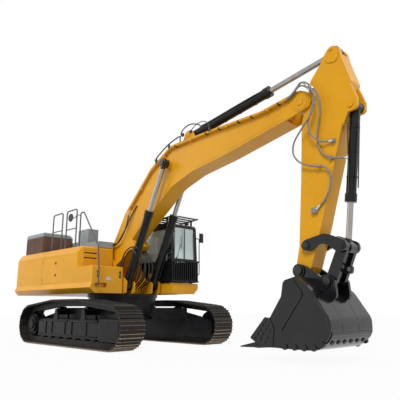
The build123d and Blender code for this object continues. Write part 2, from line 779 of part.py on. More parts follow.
# Mirrors: a round one on the boarding rail, a tall one beside the cab
def mirrors():
    disc = rod((-560, -rail_y - 150, 3960), (-560, -rail_y - 120, 3960), 130)
    tube = bent_tube([
        (cab_front - 60, cab_outer, 2200), (cab_front - 60, cab_outer + 160, 2200),
        (cab_front - 60, cab_outer + 160, 3420), (cab_front - 60, cab_outer, 3420)], 16, 60)
    glass = block(cab_front - 80, cab_front - 50, cab_outer + 180, cab_outer + 350, 3300, 3620)
    stub = rod((cab_front - 60, cab_outer + 160, 3400), (cab_front - 60, cab_outer + 210, 3400), 12)
    return disc, tube + stub + glass


write("mirrors", *mirrors())

# Boom: box beam with a bend, flared foot and a fork at the nose
boom_rows = [
    (-330, 3040, 0), (400, 4180, 400), (1700, 5450, 900), (2630, 5970, 700), (4350, 6010, 500), (6130, 6010, 600),
    (7230, 6175, 0), (7330, 6175, 120), (7560, 6060, 150), (7620, 5850, 150), (7560, 5700, 120), (6910, 5550, 400),
    (4800, 5130, 900), (3600, 4950, 1200), (2710, 4660, 900), (1130, 3540, 800), (150, 2700, 0)]


def boom():
    foot_x, foot_z = boom_foot
    body = side_plate(boom_rows, -boom_half_width, boom_half_width)
    angle = math.atan2(3540 - 2700, 1130 - 150)
    along = Vector(math.cos(angle), 0, math.sin(angle))
    start = Plane(origin=(foot_x, 0, foot_z), x_dir=(0, 1, 0), z_dir=along)
    end = Plane(origin=Vector(foot_x, 0, foot_z) + along * 1250, x_dir=(0, 1, 0), z_dir=along)
    flare = loft([start * Rectangle(2 * foot_half_width, 1.9 * foot_radius),
                  end * Pos(0, -60) * Rectangle(2 * boom_half_width, 700)])
    body += flare
    body += cross_pin(boom_foot, -foot_half_width, foot_half_width, foot_radius)
    body -= cross_pin(boom_foot, -1000, 1000, boom_pin_radius + 1)
    slot = cross_pin(boom_nose, -stick_half_width - 10, stick_half_width + 10, 560)
    body -= slot
    for side in (-1, 1):
        y0 = side * boom_half_width
        y1 = side * (boom_cylinder_offset - 105)
        body += cross_pin(boom_cylinder_eye, y0, y1, 150)
    ears = Part()
    for side in (-1, 1):
        ears += side_plate([
            (3050, 5900, 0), (3700, 5900, 0), (3480, 6290, 130), (3220, 6290, 130)],
            side * 150 if side > 0 else -190, side * 190 if side > 0 else -150)
    body += ears
    body += cross_pin(stick_cylinder_foot, -200, 200, pin_radius)
    for side in (-1, 1):
        body += cross_pin(boom_nose, side * (boom_half_width - 20), side * (boom_half_width + 15), 190)
    body += cross_pin(boom_nose, -boom_half_width - 30, boom_half_width + 30, boom_pin_radius)
    return body


write("boom", boom())


def boom_pipes(side):
    # x, z along the top edge of the boom's side
    rows = [(700, 4230), (1820, 5330), (2700, 5850), (4300, 5910), (6100, 5910), (7000, 6030)]
    pieces = Part()
    for y in (boom_half_width + 30, boom_half_width + 78):
        pieces += bent_tube([(x, side * y, z) for x, z in rows], 18, 300)
    for x, z in ((1300, 4780), (2400, 5600), (3600, 5840), (5000, 5870), (6400, 5900)):
        pieces += block(x, x + 60, side * boom_half_width, side * (boom_half_width + 100), z, z + 80)
    return pieces


write("boom_pipes", boom_pipes(-1), boom_pipes(1))

# A hose: runs joined by arcs as large as the shorter run beside each bend allows
def hose(points, radius):
    runs = [Vector(*b) - Vector(*a) for a, b in zip(points, points[1:])]
    bends = []
    for before, after in zip(runs, runs[1:]):
        turn = math.radians(before.get_angle(after))
        bends.append(0.45 * min(before.length, after.length) / math.tan(turn / 2))
    return bent_tube(points, radius, bends)


hose_radius = 20


# Hoses on the boom's right side: along the top to the stick cylinder's ears, a short one behind the ears,
# and the loop at the foot that goes down to a bracket
def boom_hoses():
    side_y = -boom_half_width
    top = hose([
        (1900, -314, 5650), (2250, -314, 5865), (2600, -314, 6035), (2930, -314, 6120), (3190, -314, 6165)], hose_radius)
    top += block(3180, 3260, -350, side_y, 6110, 6200)
    for x, low, high in ((1960, 5500, 5690), (2560, 5900, 6020)):
        top += block(x, x + 60, side_y - 2 * hose_radius, side_y, low, high)
    loop = hose([
        (3450, -212, 6230), (3620, -240, 6330), (3860, -255, 6390), (4110, -280, 6350), (4290, -310, 6210),
        (4330, -312, 6060)], 12)
    loop += block(3420, 3480, -235, -190, 6190, 6260)
    loop += block(4300, 4360, side_y - 40, side_y, 5950, 6080)
    foot = hose([
        (640, -345, 4160), (640, -350, 3920), (560, -400, 3560), (350, -435, 3230), (60, -450, 3100),
        (-120, -450, 3170)], hose_radius)
    foot += block(-170, -90, -475, side_y, 3140, 3220)
    return top, loop, foot


write("boom_hoses", *boom_hoses())


# Stick: head with ears, hub between the boom's fork plates, foot bracket of the bucket cylinder
stick_rows = [
    (8190, 7090, 170), (7990, 6840, 60), (7860, 6640, 60), (7600, 6340, 200), (7300, 5340, 300), (7210, 4000, 0),
    (7080, 2480, 0), (6950, 1920, 150), (7100, 1770, 150), (7250, 1800, 150), (7365, 2000, 0), (7610, 2700, 0),
    (8010, 4000, 0), (8240, 4750, 0), (8400, 5350, 0), (8600, 6030, 120), (8420, 6630, 80), (8370, 6900, 150)]


def stick():
    body = side_plate(stick_rows, -stick_half_width, stick_half_width)
    body += cross_pin(boom_nose, -stick_half_width, stick_half_width, 250)
    # room for the stick cylinder's rod end between the ears
    ear_x, ear_z = stick_ear
    body -= side_plate([
        (ear_x - 640, ear_z - 880, 0), (ear_x + 100, ear_z - 260, 200), (ear_x + 280, ear_z - 100, 0),
        (ear_x + 400, ear_z + 400, 0), (ear_x - 1200, ear_z + 400, 0)], -110, 110)
    bracket_rows = [
        (8330, 5000, 0), (8480, 5300, 0), (8700, 5330, 100), (8720, 5560, 100), (8560, 6000, 0), (8400, 5900, 0)]
    for y0, y1 in ((-stick_half_width, -150), (150, stick_half_width)):
        body += side_plate(bracket_rows, y0, y1)
    for side in (-1, 1):
        body += side_plate([
            (8185, 7060, 140), (8040, 6830, 60), (8010, 6640, 120), (8340, 6560, 120), (8350, 6880, 130)],
            side * (stick_half_width - 10), side * (stick_half_width + 20))
    body -= block(8395, 8900, -150, 150, 5150, 5800)
    body += cross_pin(bucket_cylinder_foot, -stick_half_width - 25, stick_half_width + 25, pin_radius)
    body -= cross_pin(boom_nose, -400, 400, boom_pin_radius + 1)
    body -= cross_pin(stick_tip, -400, 400, boom_pin_radius + 1)
    body += cross_pin(guide_pivot, -stick_half_width - 105, stick_half_width + 105, pin_radius)
    return body


write("stick", stick())


# Hoses over the stick's right side: x, y, z. The first loops back under the boom to a joint and ends in
# a block, the second ends on the side, the third goes forward to the bucket cylinder
loop_route = [
    (7590, -432, 6190), (7770, -432, 5990), (7820, -430, 5720), (7690, -420, 5420), (7400, -405, 5150),
    (7150, -385, 4880), (7090, -350, 4600), (7260, -325, 4370), (7560, -305, 4240), (7830, -290, 4180),
    (7990, -280, 4060), (8000, -275, 3880), (7950, -270, 3640), (7820, -266, 3420), (7600, -262, 3250)]
side_route = [
    (7610, -386, 6110), (7770, -386, 5850), (7710, -384, 5590), (7580, -380, 5360), (7550, -372, 5110),
    (7680, -350, 4860), (7880, -305, 4735), (8080, -262, 4720)]
front_route = [
    (7660, -340, 6160), (7840, -340, 5930), (7890, -335, 5650), (7850, -322, 5380), (7750, -292, 5080),
    (7710, -268, 4750), (7830, -262, 4460), (8070, -268, 4325), (8250, -220, 4300), (8380, -165, 4290)]


def stick_hoses():
    side_y = -stick_half_width
    loop = hose(loop_route, hose_radius)
    joint = Vector(*loop_route[9])
    along = (joint - Vector(*loop_route[8])).normalized()
    loop += rod(tuple(joint - along * 150), tuple(joint - along * 40), 1.7 * hose_radius)
    loop += block(7470, 7620, -290, side_y, 3170, 3290)
    side = hose(side_route, hose_radius) + block(8060, 8150, -290, side_y, 4680, 4760)
    front = hose(front_route, hose_radius) + block(7990, 8050, -290, side_y, 4300, 4380)
    return loop, side, front


write("stick_hoses", *stick_hoses())


# Guide links: arched plates outside the stick
def guide_link(side):
    (x0, z0), (x1, z1) = guide_pivot, link_pin
    inner = stick_half_width + 12
    y0, y1 = sorted((side * inner, side * (inner + 75)))
    rows = [
        (x0 - 110, z0 - 40, 90), (x0 + 60, z0 - 130, 90), (x0 + 450, z0 + 30, 160), (x1 - 60, z1 - 130, 90),
        (x1 + 130, z1 - 60, 110), (x1 + 110, z1 + 130, 120), (x0 + 480, z0 + 230, 300), (x0 - 60, z0 + 120, 110)]
    link = side_plate(rows, y0, y1)
    for pin in (guide_pivot, link_pin):
        link += cross_pin(pin, side * inner, side * (inner + 92), 105)
    link += cross_pin(link_pin, side * inner, side * (inner + 112), pin_radius)
    return link - cross_pin(guide_pivot, -600, 600, pin_radius + 1)


write("guide_links", guide_link(-1), guide_link(1))


# Bucket link: a plate pair joined by a web, upper end between the guide links, lifting eye on the web
def bucket_link():
    (x0, z0), (x1, z1) = link_pin, bucket_rear_pin
    outline = [
        (x0 - 140, z0 + 20, 100), (x0 - 20, z0 + 150, 100), (x0 + 140, z0 + 60, 100), (x1 + 155, z1 + 10, 100),
        (x1 + 30, z1 - 145, 100), (x1 - 145, z1 - 20, 100)]
    link = side_plate(outline, -stick_half_width, stick_half_width)
    inner_gap = side_plate([
        (x0 - 400, z0 + 300, 0), (x0 - 400, z0 - 330, 0), (x1 + 90, z1 + 400, 0), (x1 + 330, z1 + 310, 0),
        (x0 + 400, z0 - 330, 0), (x0 + 400, z0 + 300, 0)], -120, 120)
    lower_gap = side_plate([
        (x1 - 300, z1 - 300, 0), (x1 + 400, z1 - 300, 0), (x1 + 400, z1 + 120, 0), (x1 + 60, z1 + 230, 0),
        (x1 - 300, z1 + 230, 0)], -120, 120)
    link -= inner_gap + lower_gap
    eye_x, eye_z = x1 + 350, z1 + 250
    eye = side_plate([
        (x1 + 60, z1 + 250, 0), (x1 + 160, z1 + 150, 0), (eye_x + 60, eye_z - 95, 60), (eye_x + 90, eye_z + 60, 60),
        (eye_x - 20, eye_z + 100, 60)], -35, 35)
    link += eye
    link -= cross_pin((eye_x, eye_z), -60, 60, 45)
    return link - cross_pin(bucket_rear_pin, -400, 400, pin_radius + 1)


write("bucket_link", bucket_link())

# Bucket: outer profile (x, z, corner radius) from the lip round the back to the top
bucket_rows = [
    (6500, 330, 0), (6700, 300, 100), (7800, 300, 500), (8130, 560, 350), (8130, 900, 300), (7760, 1450, 300),
    (7365, 1765, 60), (7060, 1690, 60)]
lip_rows = [(7060, 1690), (6980, 1360), (6660, 910), (6560, 920), (6140, 480), (6500, 330)]


wear_thick = 20           # wear plates stand this proud of the bucket's side
cutter_thick = 35
heel_proud = 12
wear_top = 650
hinge_near = stick_half_width + 12
hinge_far = hinge_near + 80
# Round wear lugs along the heel: x, z
wear_lugs = [(7050, 335), (7290, 335), (7520, 335), (7740, 345), (7930, 420)]
lug_radius = 62


# Wear plates of one side: heel band, edge doubler beside the mouth, side cutter and heel lugs
def side_wear(side):
    y0, y1 = side * (bucket_half_width - 10), side * (bucket_half_width + wear_thick)
    wear = side_plate(bucket_rows, y0, y1) & block(6700, 8200, y0, y1, 200, wear_top)
    wear += side_plate([
        (7050, 1650, 0), (7320, 1690, 60), (7540, 1400, 80), (6760, 380, 0), (6560, 360, 0), (6560, 900, 0),
        (6680, 900, 0), (6990, 1350, 0)], y0, y1)
    wear += side_plate([
        (6690, 905, 30), (6550, 925, 30), (6130, 480, 20), (6330, 360, 0), (6740, 320, 0), (6790, 690, 80)],
        y0, side * (bucket_half_width + cutter_thick))
    for x, z in wear_lugs:
        wear += cross_pin((x, z), y0, side * (bucket_half_width + cutter_thick + 10), lug_radius)
    return wear


def bucket():
    rows = bucket_rows + [(x, z, 0) for x, z in lip_rows[1:-1]]
    body = side_plate(rows, -bucket_half_width, bucket_half_width)
    body += side_wear(1) + side_wear(-1)
    heel = bucket_half_width - 40
    heel_rows = [(x + heel_proud, z - heel_proud, r) for x, z, r in bucket_rows]
    body += side_plate(heel_rows, -heel, heel) & block(6900, 8400, -heel, heel, 0, wear_top)
    t = bucket_plate
    hollow = side_plate([
        (6000, 330 + t, 0), (6720, 300 + t, 100), (7780, 300 + t, 440), (8130 - t, 580, 300), (8130 - t, 890, 260),
        (7740, 1450 - t, 260), (7365, 1765 - 1.2 * t, 40), (7060, 1690 - 1.2 * t, 0), (6000, 1500, 0)],
        -bucket_half_width + t, bucket_half_width - t)
    body -= hollow
    body += side_plate([
        (6720, 300, 0), (6720, 300 + t, 0), (6400, 352, 0), (6220, 320, 0), (6220, 300, 0), (6420, 286, 0)],
        -bucket_half_width, bucket_half_width)
    hinge_plates = Part()
    for y0, y1 in ((hinge_near, hinge_far), (-hinge_far, -hinge_near)):
        hinge_plates += side_plate([
            (6930, 1900, 120), (7060, 2080, 140), (7260, 2020, 100), (7640, 1760, 80), (7760, 1830, 120),
            (7960, 1700, 120), (7990, 1200, 100), (7700, 1380, 0), (7360, 1730, 0), (7060, 1690, 0)], y0, y1)
    for side in (-1, 1):
        hinge_plates += cross_pin(stick_tip, side * hinge_near, side * (hinge_far + 35), 150)
        hinge_plates += cross_pin(bucket_rear_pin, side * hinge_near, side * (hinge_far + 25), 115)
    body += hinge_plates
    reach = hinge_far + 55
    body += cross_pin(stick_tip, -reach, reach, boom_pin_radius)
    body += cross_pin(bucket_rear_pin, -reach, reach, pin_radius)
    return body


bucket_shell = bucket()
write("bucket", bucket_shell)


def bucket_teeth():
    teeth = 6
    pieces = Part()
    for i in range(teeth):
        y = (i - (teeth - 1) / 2) * (2 * bucket_half_width - 150) / (teeth - 1)
        adapter = side_plate([
            (6560, 290, 0), (6560, 420, 0), (6250, 400, 30), (6140, 340, 0), (6140, 280, 0), (6300, 268, 0)],
            y - 60, y + 60)
        tip = side_plate([(6200, 385, 0), (6200, 275, 0), (5790, 262, 0), (5790, 285, 0)], y - 45, y + 45)
        pieces += adapter + tip
    return pieces - bucket_shell


write("bucket_teeth", bucket_teeth())


# Hydraulic cylinders: barrel with an eye at its foot and a gland, rod with its end eye
def barrel(foot, eye, reach, y, radius, eye_half, bore):
    length_to_gland = between(foot, eye, reach)
    body = rod((foot[0], y, foot[1]), (length_to_gland[0], y, length_to_gland[1]), radius)
    gland_start = between(foot, eye, reach - 180)
    body += rod((gland_start[0], y, gland_start[1]), (length_to_gland[0], y, length_to_gland[1]), radius + 18)
    body += cross_pin(foot, y - eye_half, y + eye_half, radius + 15)
    back = between(foot, eye, -radius * 0.5)
    inside = between(foot, eye, radius + 120)
    body -= rod((inside[0], y, inside[1]), (length_to_gland[0], y, length_to_gland[1]), bore + 1)
    end = between(foot, eye, reach + 10)
    body -= rod((inside[0], y, inside[1]), (end[0], y, end[1]), bore + 1)
    return body - cross_pin(foot, y - 400, y + 400, pin_radius + 1)


def piston_rod(foot, eye, reach, y, radius, eye_radius, eye_half, tail):
    inner = between(foot, eye, reach - tail)
    body = rod((inner[0], y, inner[1]), (eye[0], y, eye[1]), radius)
    return body + cross_pin(eye, y - eye_half, y + eye_half, eye_radius)


# name, foot, eye, gland distance, y, barrel radius, rod radius, eye half width at foot and rod, rod's tail
cylinders = [
    ("boom_cylinder_right", boom_cylinder_foot, boom_cylinder_eye, 2450, -boom_cylinder_offset, 122, 72, 125, 100, 820),
    ("boom_cylinder_left", boom_cylinder_foot, boom_cylinder_eye, 2450, boom_cylinder_offset, 122, 72, 125, 100, 820),
    ("stick_cylinder", stick_cylinder_foot, stick_ear, 2950, 0, 130, 75, 145, 100, 850),
    ("bucket_cylinder", bucket_cylinder_foot, link_pin, 2130, 0, 110, 65, 145, 100, 1150)]
for name, foot, eye, reach, y, barrel_radius, rod_radius, foot_half, eye_half, tail in cylinders:
    write(f"{name}_barrel", barrel(foot, eye, reach, y, barrel_radius, foot_half, rod_radius))
    rod_piece = piston_rod(foot, eye, reach, y, rod_radius, 130, eye_half, tail)
    if y:
        outside = math.copysign(eye_half, y)
        rod_piece += cross_pin(eye, y + 0.9 * outside, y + 1.3 * outside, 85)
    write(f"{name}_rod", rod_piece)
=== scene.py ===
import bpy
import bmesh
import json
import math
from mathutils import Matrix, Vector
from mathutils.bvhtree import BVHTree


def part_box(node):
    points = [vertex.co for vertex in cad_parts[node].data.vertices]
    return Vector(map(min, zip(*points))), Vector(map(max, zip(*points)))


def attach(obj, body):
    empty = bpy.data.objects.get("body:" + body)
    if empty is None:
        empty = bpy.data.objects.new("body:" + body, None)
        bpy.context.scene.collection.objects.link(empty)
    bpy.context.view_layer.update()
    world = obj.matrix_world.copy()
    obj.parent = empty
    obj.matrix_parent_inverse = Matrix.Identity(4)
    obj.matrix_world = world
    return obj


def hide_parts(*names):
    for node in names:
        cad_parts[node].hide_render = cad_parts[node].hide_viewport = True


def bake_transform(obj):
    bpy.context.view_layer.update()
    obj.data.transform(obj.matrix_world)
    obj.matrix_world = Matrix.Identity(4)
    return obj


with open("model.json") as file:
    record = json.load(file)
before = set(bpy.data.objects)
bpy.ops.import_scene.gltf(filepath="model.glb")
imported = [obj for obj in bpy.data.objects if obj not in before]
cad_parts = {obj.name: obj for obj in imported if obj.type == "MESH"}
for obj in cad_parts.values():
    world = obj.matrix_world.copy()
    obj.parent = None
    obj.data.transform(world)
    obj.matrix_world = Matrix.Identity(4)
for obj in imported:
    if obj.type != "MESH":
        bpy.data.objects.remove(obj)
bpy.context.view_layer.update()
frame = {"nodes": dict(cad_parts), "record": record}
nodes = frame["nodes"]
swingX = -2.14  # the swing axis in the row frame; places below are measured from it, in metres


def at(x, y, z):
    return Vector((x + swingX, y, z))


bothSides = ((-1, "right"), (1, "left"))

print("stage: camera and studio")
view = {"place": (13.093, -9.25, 1.128), "yaw": 135.63, "pitch": 12.84, "lens": 42.43}
cameraData = bpy.data.cameras.new("photoCamera")
cameraData.lens = view["lens"]
cameraData.sensor_width = 36
cameraData.clip_end = 200
camera = bpy.data.objects.new("photoCamera", cameraData)
camera.location = at(*view["place"])
camera.rotation_euler = (math.radians(90 + view["pitch"]), 0, math.radians(view["yaw"] - 90))
bpy.context.scene.collection.objects.link(camera)
bpy.context.scene.camera = camera
bpy.context.scene.view_settings.view_transform = "Standard"


def newMaterial(name):
    material = bpy.data.materials.new(name)
    material.use_nodes = True
    shader = material.node_tree.nodes["Principled BSDF"]
    return material, material.node_tree, shader


# A node whose inputs each take a plain value or another node's output
def addNode(tree, kind, inputs=None, operation=None, dataType=None):
    node = tree.nodes.new(f"ShaderNode{kind}")
    if operation:
        node.operation = operation
    if dataType:
        node.data_type = dataType
    for socket, value in (inputs or {}).items():
        if isinstance(value, bpy.types.NodeSocket):
            tree.links.new(value, node.inputs[socket])
        else:
            node.inputs[socket].default_value = value
    return node


# White for the eye and for mirror rays, a plain level of light for the rest
def whiteToTheEye(tree, ownOutput, whiteOutput, target, share=1.0):
    path = addNode(tree, "LightPath")
    seen = path.outputs["Is Camera Ray"]
    for ray in ("Is Glossy Ray", "Is Transmission Ray"):
        seen = addNode(tree, "Math", {0: seen, 1: path.outputs[ray]}, "MAXIMUM").outputs[0]
    part = addNode(tree, "Math", {0: seen, 1: share}, "MULTIPLY")
    mix = addNode(tree, "MixShader", {0: part.outputs[0], 1: ownOutput, 2: whiteOutput})
    tree.links.new(mix.outputs[0], target)


studio = {
    "white": (1, 1, 1, 1), "skyTone": (0.93, 0.96, 1.0, 1), "skyLight": 0.42, "floorHalf": 60,
    "floorTone": (0.62, 0.62, 0.62, 1), "floorRough": 0.85, "floorWhite": 0.94,
    # kind, place, turned to, energy, size
    "lamps": [
        ("SUN", (5, -11, 15), (-1.5, 0, 2), 2.2, math.radians(20)),
        ("AREA", (12, 6, 9), (0, 0, 3), 260, 9),
        ("AREA", (-12, -12, 10), (0, 0, 3), 380, 10)]}


def buildSky():
    world = bpy.data.worlds.new("studioWorld")
    bpy.context.scene.world = world
    world.use_nodes = True
    tree = world.node_tree
    tree.nodes.clear()
    output = addNode(tree, "OutputWorld")
    plain = addNode(tree, "Background", {"Color": studio["skyTone"], "Strength": studio["skyLight"]})
    white = addNode(tree, "Background", {"Color": studio["white"], "Strength": 1.0})
    whiteToTheEye(tree, plain.outputs[0], white.outputs[0], output.inputs[0])


def buildFloor():
    floorMesh = bpy.data.meshes.new("floor")
    form = bmesh.new()
    bmesh.ops.create_grid(form, x_segments=1, y_segments=1, size=studio["floorHalf"])
    form.to_mesh(floorMesh)
    form.free()
    floor = bpy.data.objects.new("floor", floorMesh)
    bpy.context.scene.collection.objects.link(floor)
    material, tree, shader = newMaterial("paleFloor")
    shader.inputs["Base Color"].default_value = studio["floorTone"]
    shader.inputs["Roughness"].default_value = studio["floorRough"]
    glow = addNode(tree, "Emission", {"Color": studio["white"], "Strength": 1.0})
    target = tree.nodes["Material Output"].inputs[0]
    whiteToTheEye(tree, shader.outputs[0], glow.outputs[0], target, studio["floorWhite"])
    floorMesh.materials.append(material)


def buildLamps():
    for index, (kind, place, target, energy, size) in enumerate(studio["lamps"]):
        data = bpy.data.lights.new(f"lamp{index}", kind)
        data.energy = energy
        if kind == "SUN":
            data.angle = size
        else:
            data.size = size
        lamp = bpy.data.objects.new(f"lamp{index}", data)
        lamp.location = place
        lamp.rotation_euler = (Vector(target) - Vector(place)).to_track_quat("-Z", "Y").to_euler()
        bpy.context.scene.collection.objects.link(lamp)


buildSky()
buildFloor()
buildLamps()

print("stage: paints and metals")
noises = {"detail": 6, "ramp": (0.3, 0.72), "dustScale": 14, "dustDetail": 8, "fineDetail": 4, "depth": 0.01}


# A finish from one row of settings: two tones mixed by a noise, uneven gloss, a light bump, dust low down
def surface(name, dark, light, scale, rough, metal=0.0, bump=0.02, bumpScale=60.0, shine=0.5, dust=None):
    material, tree, shader = newMaterial(name)
    place = addNode(tree, "TexCoord").outputs["Object"]
    broad = addNode(tree, "TexNoise", {"Scale": scale, "Detail": noises["detail"], "Vector": place}).outputs["Fac"]
    ramp = addNode(tree, "ValToRGB", {"Fac": broad})
    for element, tone, position in zip(ramp.color_ramp.elements, (dark, light), noises["ramp"]):
        element.position = position
        element.color = (*tone, 1)
    colour = ramp.outputs["Color"]
    if dust:
        tone, low, high, most = dust  # dust fades out from height low to height high
        height = addNode(tree, "SeparateXYZ", {0: place}).outputs["Z"]
        fade = addNode(tree, "MapRange", {
            "Value": height, "From Min": low, "From Max": high, "To Min": most, "To Max": 0.0})
        speck = addNode(tree, "TexNoise", {
            "Scale": noises["dustScale"], "Detail": noises["dustDetail"], "Vector": place})
        amount = addNode(tree, "Math", {0: fade.outputs[0], 1: speck.outputs["Fac"]}, "MULTIPLY")
        mix = addNode(tree, "Mix", {0: amount.outputs[0], 6: colour, 7: (*tone, 1)}, dataType="RGBA")
        colour = mix.outputs[2]
    gloss = addNode(tree, "MapRange", {"Value": broad, "To Min": rough[0], "To Max": rough[1]})
    fine = addNode(tree, "TexNoise", {"Scale": bumpScale, "Detail": noises["fineDetail"], "Vector": place})
    relief = addNode(tree, "Bump", {"Strength": bump, "Distance": noises["depth"], "Height": fine.outputs["Fac"]})
    tree.links.new(colour, shader.inputs["Base Color"])
    tree.links.new(gloss.outputs[0], shader.inputs["Roughness"])
    tree.links.new(relief.outputs[0], shader.inputs["Normal"])
    shader.inputs["Metallic"].default_value = metal
    shader.inputs["Specular IOR Level"].default_value = shine
    return material


hoseCover = ((0.012, 0.012, 0.013), (0.03, 0.03, 0.032), 12.0, (0.45, 0.6), 0.0, 0.06, 160)
finishRows = {
    # material, dark tone, light tone, scale, roughness from and to, metal, bump, its scale, shine, dust
    "yellow": ("yellowPaint", (0.69, 0.315, 0.004), (0.76, 0.355, 0.007), 1.2, (0.26, 0.40), 0.0, 0.012, 35, 0.26,
               ((0.36, 0.20, 0.06), 1.4, 2.4, 0.22)),
    "black": ("blackPaint", (0.004, 0.004, 0.005), (0.010, 0.010, 0.012), 3.0, (0.18, 0.34), 0.0, 0.03, 60, 0.22),
    "bucketBlack": ("bucketPaint", (0.003, 0.003, 0.004), (0.007, 0.007, 0.009), 2.5, (0.10, 0.22), 0.0, 0.03, 60,
                    0.42, ((0.05, 0.042, 0.036), 0.1, 0.7, 0.12)),
    "frameBlack": ("frameBlack", (0.004, 0.004, 0.005), (0.010, 0.010, 0.012), 4.0, (0.25, 0.45), 0.0, 0.06, 60, 0.15,
                   ((0.05, 0.042, 0.035), 0.0, 0.9, 0.10)),
    "steel": ("trackSteel", (0.006, 0.0055, 0.005), (0.020, 0.017, 0.015), 9.0, (0.4, 0.65), 0.2, 0.25, 45, 0.35,
              ((0.09, 0.065, 0.045), 0.0, 1.2, 0.25)),
    "chrome": ("chromeRod", (0.30, 0.29, 0.28), (0.38, 0.37, 0.36), 8.0, (0.10, 0.20), 1.0, 0.004),
    "grey": ("greyPaint", (0.22, 0.25, 0.27), (0.30, 0.33, 0.35), 2.0, (0.35, 0.5)),
    "rail": ("railGrey", (0.05, 0.055, 0.06), (0.09, 0.095, 0.10), 5.0, (0.35, 0.5)),
    "brown": ("brownScreen", (0.085, 0.04, 0.022), (0.14, 0.07, 0.04), 3.0, (0.6, 0.8), 0.0, 0.05),
    "brownDark": ("brownDark", (0.05, 0.024, 0.014), (0.09, 0.045, 0.028), 6.0, (0.5, 0.7), 0.0, 0.05),
    "engine": ("engineCast", (0.03, 0.03, 0.03), (0.06, 0.06, 0.06), 6.0, (0.6, 0.8), 0.0, 0.2),
    "seat": ("seatCloth", (0.012, 0.012, 0.014), (0.03, 0.03, 0.034), 40.0, (0.85, 0.95), 0.0, 0.3, 300),
    "trim": ("cabTrim", (0.015, 0.015, 0.017), (0.03, 0.03, 0.033), 12.0, (0.55, 0.7), 0.0, 0.1, 200),
    "pipe": ("pipeYellow", (0.62, 0.29, 0.006), (0.72, 0.34, 0.010), 3.0, (0.3, 0.45), 0.0, 0.01, 60, 0.3),
    "pipeBlack": ("pipeBlack", (0.01, 0.01, 0.011), (0.022, 0.022, 0.024), 6.0, (0.25, 0.4), 0.0, 0.01),
    "hoseGrey": ("hoseGrey", (0.16, 0.16, 0.155), (0.25, 0.25, 0.24), 14.0, (0.4, 0.55), 0.0, 0.10, 180),
    "rubber": ("hoseCover", *hoseCover),
    "hoseRubber": ("hoseRubber", *hoseCover),
    "boltSteel": ("boltSteel", (0.30, 0.29, 0.26), (0.48, 0.46, 0.42), 20.0, (0.3, 0.5), 0.85, 0.05),
    "boltDark": ("boltDark", (0.014, 0.013, 0.013), (0.035, 0.033, 0.03), 20.0, (0.35, 0.6), 0.2, 0.08),
    "zinc": ("zincFitting", (0.50, 0.49, 0.46), (0.66, 0.65, 0.62), 18.0, (0.25, 0.42), 0.9, 0.03),
    "yellowWeld": ("yellowWeld", (0.64, 0.29, 0.011), (0.74, 0.35, 0.018), 14.0, (0.35, 0.5), 0.0, 0.5, 90),
    "blackWeld": ("blackWeld", (0.010, 0.010, 0.011), (0.024, 0.024, 0.026), 14.0, (0.3, 0.5), 0.0, 0.5, 90),
    "rubberBlack": ("rubberBlack", (0.010, 0.010, 0.011), (0.022, 0.022, 0.024), 16.0, (0.5, 0.7), 0.0, 0.08, 140),
    "plateBare": ("plateBare", (0.34, 0.34, 0.33), (0.46, 0.46, 0.45), 12.0, (0.3, 0.45), 0.7),
    # painted highlight: a light metal for the beads along the wear bands' edges, standing for the light those edges
    # catch
    "bandEdgeHighlight": ("bandEdgeHighlight", (0.10, 0.09, 0.085), (0.22, 0.20, 0.18), 20.0, (0.3, 0.5), 0.7, 0.05),
    "bandDark": ("bandDark", (0.012, 0.014, 0.016), (0.02, 0.024, 0.028), 2.0, (0.1, 0.2), 0.0, 0.0)}
finishes = {key: surface(*row) for key, row in finishRows.items()}

# the windscreen, at the cab's front, shows more of the sky than the side windows do
glass = {"tone": (0.84, 1.0, 0.97, 1), "rough": 0.03, "shine": 0.7, "front": (-0.66, -0.62), "alpha": (0.54, 0.80)}


def glassMaterial():
    material, tree, shader = newMaterial("cabGlass")
    for socket, value in (("Base Color", "tone"), ("Roughness", "rough"), ("Specular IOR Level", "shine")):
        shader.inputs[socket].default_value = glass[value]
    place = addNode(tree, "SeparateXYZ", {0: addNode(tree, "TexCoord").outputs["Object"]})
    front = addNode(tree, "MapRange", {
        "Value": place.outputs[0], "From Min": glass["front"][0], "From Max": glass["front"][1],
        "To Min": glass["alpha"][0], "To Max": glass["alpha"][1]})
    tree.links.new(front.outputs[0], shader.inputs["Alpha"])
    return material


finishes["glass"] = glassMaterial()


# A finish copied under a new name, with its tree, its shader and its Object coordinates
def varied(finish, name):
    material = finishes[finish].copy()
    material.name = name
    tree = material.node_tree
    coords = next(node for node in tree.nodes if node.type == "TEX_COORD")
    return material, tree, tree.nodes["Principled BSDF"], coords.outputs["Object"]


# Plated rod whose end round the pin is painted black: the distance from the pin decides
def rodFinish(name, eye, radius):
    material, tree, shader, place = varied("chrome", name)
    flat = addNode(tree, "Mapping", {0: place, "Scale": (1, 0, 1)})
    apart = addNode(tree, "VectorMath", {0: flat.outputs[0], 1: (eye[0] + swingX, 0, eye[1])}, "DISTANCE")
    nearEye = addNode(tree, "Math", {0: apart.outputs["Value"], 1: radius}, "LESS_THAN").outputs[0]
    colour = shader.inputs["Base Color"].links[0].from_socket
    paint = addNode(tree, "Mix", {0: nearEye, 6: colour, 7: (0.008, 0.008, 0.010, 1)}, dataType="RGBA")
    bare = addNode(tree, "Math", {0: 1.0, 1: nearEye}, "SUBTRACT")
    tree.links.new(paint.outputs[2], shader.inputs["Base Color"])
    tree.links.new(bare.outputs[0], shader.inputs["Metallic"])
    return material


# where the two wheels' axles are, and from where to where off the line between them a grouser is worn
axleX = 2.372
axleZ = 0.62
wear = {
    "from": 0.575, "to": 0.600, "past": 0.02, "speckScale": 22, "speckShare": 1.7, "tone": (0.52, 0.40, 0.29, 1)}


